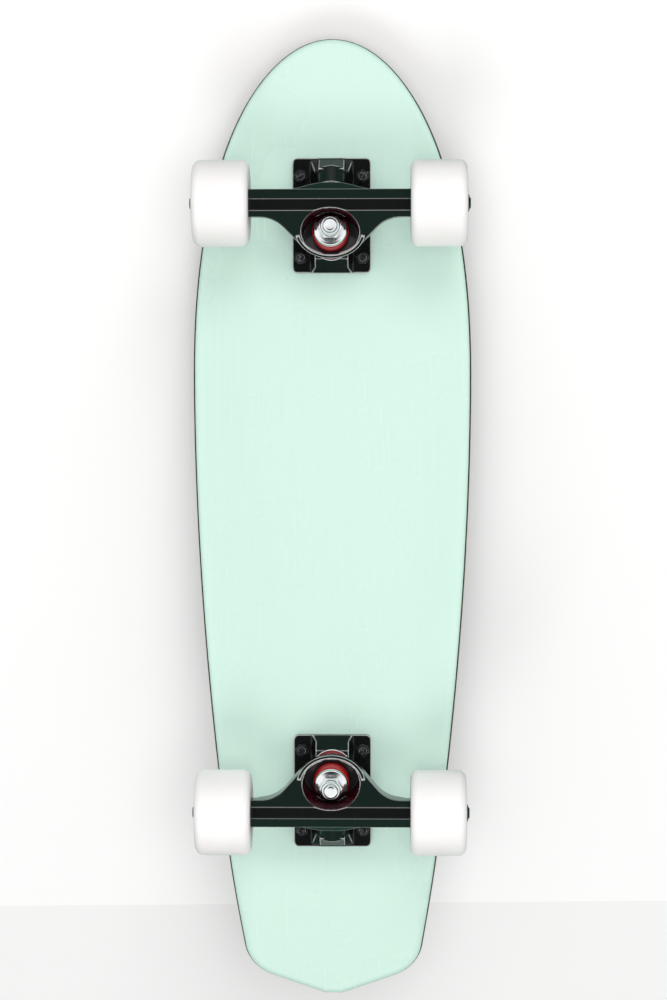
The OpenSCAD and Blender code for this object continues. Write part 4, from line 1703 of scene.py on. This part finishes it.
@dataclass
class Stage:
    """Pale floor, backdrop, lights and camera."""

    outline: Outline = field(default_factory=Outline)

    def one_sided(
        self, name: str, colour: tuple[float, float, float], size: float, place_at: Matrix
    ) -> bpy.types.Object:
        """A large plane that shows only on its front side.

        Args:
            name: The plane's name.
            colour: Its colour.
            size: Its side in metres.
            place_at: Its place; local z is the side that shows.

        Returns:
            The plane.
        """
        m = FinishNodes(name)
        faint = tuple(c * 0.985 for c in colour)
        m.put("Base Color", m.mix(m.mapped(m.noise(3.0, 5.0), 0.3, 0.7, 0.0, 1.0), colour, faint))
        m.put("Roughness", 0.9)
        clear = m.nodes.new("ShaderNodeBsdfTransparent")
        geo = m.nodes.new("ShaderNodeNewGeometry")
        choose = m.nodes.new("ShaderNodeMixShader")
        m.links.new(geo.outputs["Backfacing"], choose.inputs["Fac"])
        m.links.new(m.shader.outputs["BSDF"], choose.inputs[1])
        m.links.new(clear.outputs["BSDF"], choose.inputs[2])
        m.links.new(choose.outputs["Shader"], m.nodes["Material Output"].inputs["Surface"])
        deselect_all()
        bpy.ops.mesh.primitive_plane_add(size=size)
        plane = bpy.context.active_object
        plane.name = name
        place(plane, place_at)
        dress(plane, m.material)
        hidden_from = (
            "visible_diffuse",
            "visible_glossy",
            "visible_transmission",
            "visible_shadow",
            "visible_volume_scatter",
        )
        for ray in hidden_from:
            setattr(plane, ray, False)
        return plane

    def light(
        self, name: str, place_at: Sequence[float], aim: Sequence[float], size: float, power: float
    ) -> None:
        """A soft square light aimed at a point.

        Args:
            name: The light's name.
            place_at: Where it hangs.
            aim: Where it points.
            size: Its side in metres.
            power: Its power in watts.
        """
        data = bpy.data.lights.new(name, "AREA")
        data.shape = "SQUARE"
        data.size = size
        data.energy = power
        obj = bpy.data.objects.new(name, data)
        bpy.context.scene.collection.objects.link(obj)
        obj.location = place_at
        obj.rotation_mode = "QUATERNION"
        obj.rotation_quaternion = (Vector(aim) - Vector(place_at)).to_track_quat("-Z", "Y")
        obj.visible_camera = False
        obj.visible_glossy = False

    def room(self) -> bpy.types.World:
        """A pale room: even light, dimmer where shiny parts mirror the camera's side.

        Returns:
            The world.
        """
        world = bpy.data.worlds.new("studio")
        world.use_nodes = True
        n, l = world.node_tree.nodes, world.node_tree.links
        even = n["Background"]
        even.inputs["Color"].default_value = (1.0, 1.0, 1.0, 1.0)
        even.inputs["Strength"].default_value = 0.48
        coord = n.new("ShaderNodeTexCoord")
        split = n.new("ShaderNodeSeparateXYZ")
        l.new(coord.outputs["Generated"], split.inputs["Vector"])
        down = n.new("ShaderNodeMapRange")
        down.inputs["From Min"].default_value = -0.98
        down.inputs["From Max"].default_value = -0.88
        down.inputs["To Min"].default_value = 0.03
        down.inputs["To Max"].default_value = 1.1
        down.interpolation_type = "SMOOTHSTEP"
        l.new(split.outputs["Z"], down.inputs["Value"])
        mirrored = n.new("ShaderNodeBackground")
        aside = n.new("ShaderNodeMapRange")
        aside.inputs["From Min"].default_value = -0.62
        aside.inputs["From Max"].default_value = -0.30
        aside.interpolation_type = "SMOOTHSTEP"
        l.new(split.outputs["Z"], aside.inputs["Value"])
        tint = n.new("ShaderNodeMix")
        tint.data_type = "RGBA"
        tint.inputs[6].default_value = (1.0, 1.0, 1.0, 1.0)
        tint.inputs[7].default_value = (0.09, 0.30, 0.21, 1.0)
        l.new(aside.outputs["Result"], tint.inputs["Factor"])
        l.new(tint.outputs[2], mirrored.inputs["Color"])
        l.new(down.outputs["Result"], mirrored.inputs["Strength"])
        path = n.new("ShaderNodeLightPath")
        choose = n.new("ShaderNodeMixShader")
        l.new(path.outputs["Is Glossy Ray"], choose.inputs["Fac"])
        l.new(even.outputs["Background"], choose.inputs[1])
        l.new(mirrored.outputs["Background"], choose.inputs[2])
        seen = n.new("ShaderNodeBackground")
        seen.inputs["Color"].default_value = (1.0, 1.0, 1.0, 1.0)
        seen.inputs["Strength"].default_value = 0.9
        view = n.new("ShaderNodeMixShader")
        l.new(path.outputs["Is Camera Ray"], view.inputs["Fac"])
        l.new(choose.outputs["Shader"], view.inputs[1])
        l.new(seen.outputs["Background"], view.inputs[2])
        l.new(view.outputs["Shader"], n["World Output"].inputs["Surface"])
        return world

    def build(self) -> None:
        """Builds the floor, the backdrop, the lights and the camera."""
        scene = bpy.context.scene
        scene.world = self.room()
        self.one_sided("floor", (0.90, 0.895, 0.89), 12.0, Matrix.Identity(4))
        lean = math.radians(10.5)
        wall_at = Matrix.Translation((0, 0, 0.185)) @ Matrix.Rotation(math.pi + lean, 4, "Y")
        self.one_sided("backdrop", (0.975, 0.973, 0.970), 8.0, wall_at)
        slant = Matrix.Rotation(math.radians(0.7), 4, "Z")
        strip_at = wall_at @ Matrix.Translation((0.298, 0, 0.001)) @ slant @ Matrix.Translation((4.0, 0, 0))
        self.one_sided("floor_strip", (0.905, 0.905, 0.90), 8.0, strip_at)
        self.light("key_below", (1.25, 0.25, -1.75), (0, 0, 0.1), 0.9, 12)
        self.light("fill_below", (-1.35, -0.25, -1.75), (0, 0, 0.1), 0.9, 12)
        self.light("front_below", (0.1, 0.1, -1.9), (0, 0, 0.1), 0.8, 12.5)
        self.light("key_above", (0.9, -1.2, 1.8), (0, 0, 0), 1.6, 26)
        self.light("fill_above", (-1.2, 1.0, 1.5), (0, 0, 0), 2.0, 15)
        camera = bpy.data.cameras.new("camera")
        camera.lens = 90.0
        camera.sensor_width = 36.0
        camera.clip_start, camera.clip_end = 0.05, 50.0
        obj = bpy.data.objects.new("camera", camera)
        scene.collection.objects.link(obj)
        right = Vector((-0.001406, 0.999752, 0.022218))
        back = Vector((0.065915, 0.022262, -0.997577)).normalized()
        up = back.cross(right).normalized()
        right = up.cross(back)
        turn = Matrix((right, up, back)).transposed().to_4x4()
        middle = -self.outline.mid * MM
        spot = (middle + 0.114204, 0.038274, self.outline.s.deck_z * MM - 1.677795)
        obj.matrix_world = Matrix.Translation(spot) @ turn
        scene.camera = obj
        scene.view_settings.view_transform = "Standard"
        scene.view_settings.look = "None"


# ---------------------------------------------------------------- build


def main() -> None:
    """Builds every sub-assembly in order and reports each piece."""
    logging.basicConfig(level=logging.INFO, format="%(name)s: %(message)s")
    finishes = Finishes()
    Deck(finishes).build()
    Hardware(finishes).build()
    for end in End:
        Truck(finishes, end).build()
        for side in Side:
            Wheel(finishes, end, side).build()
    Stage().build()
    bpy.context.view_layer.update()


if __name__ == "__main__":
    main()
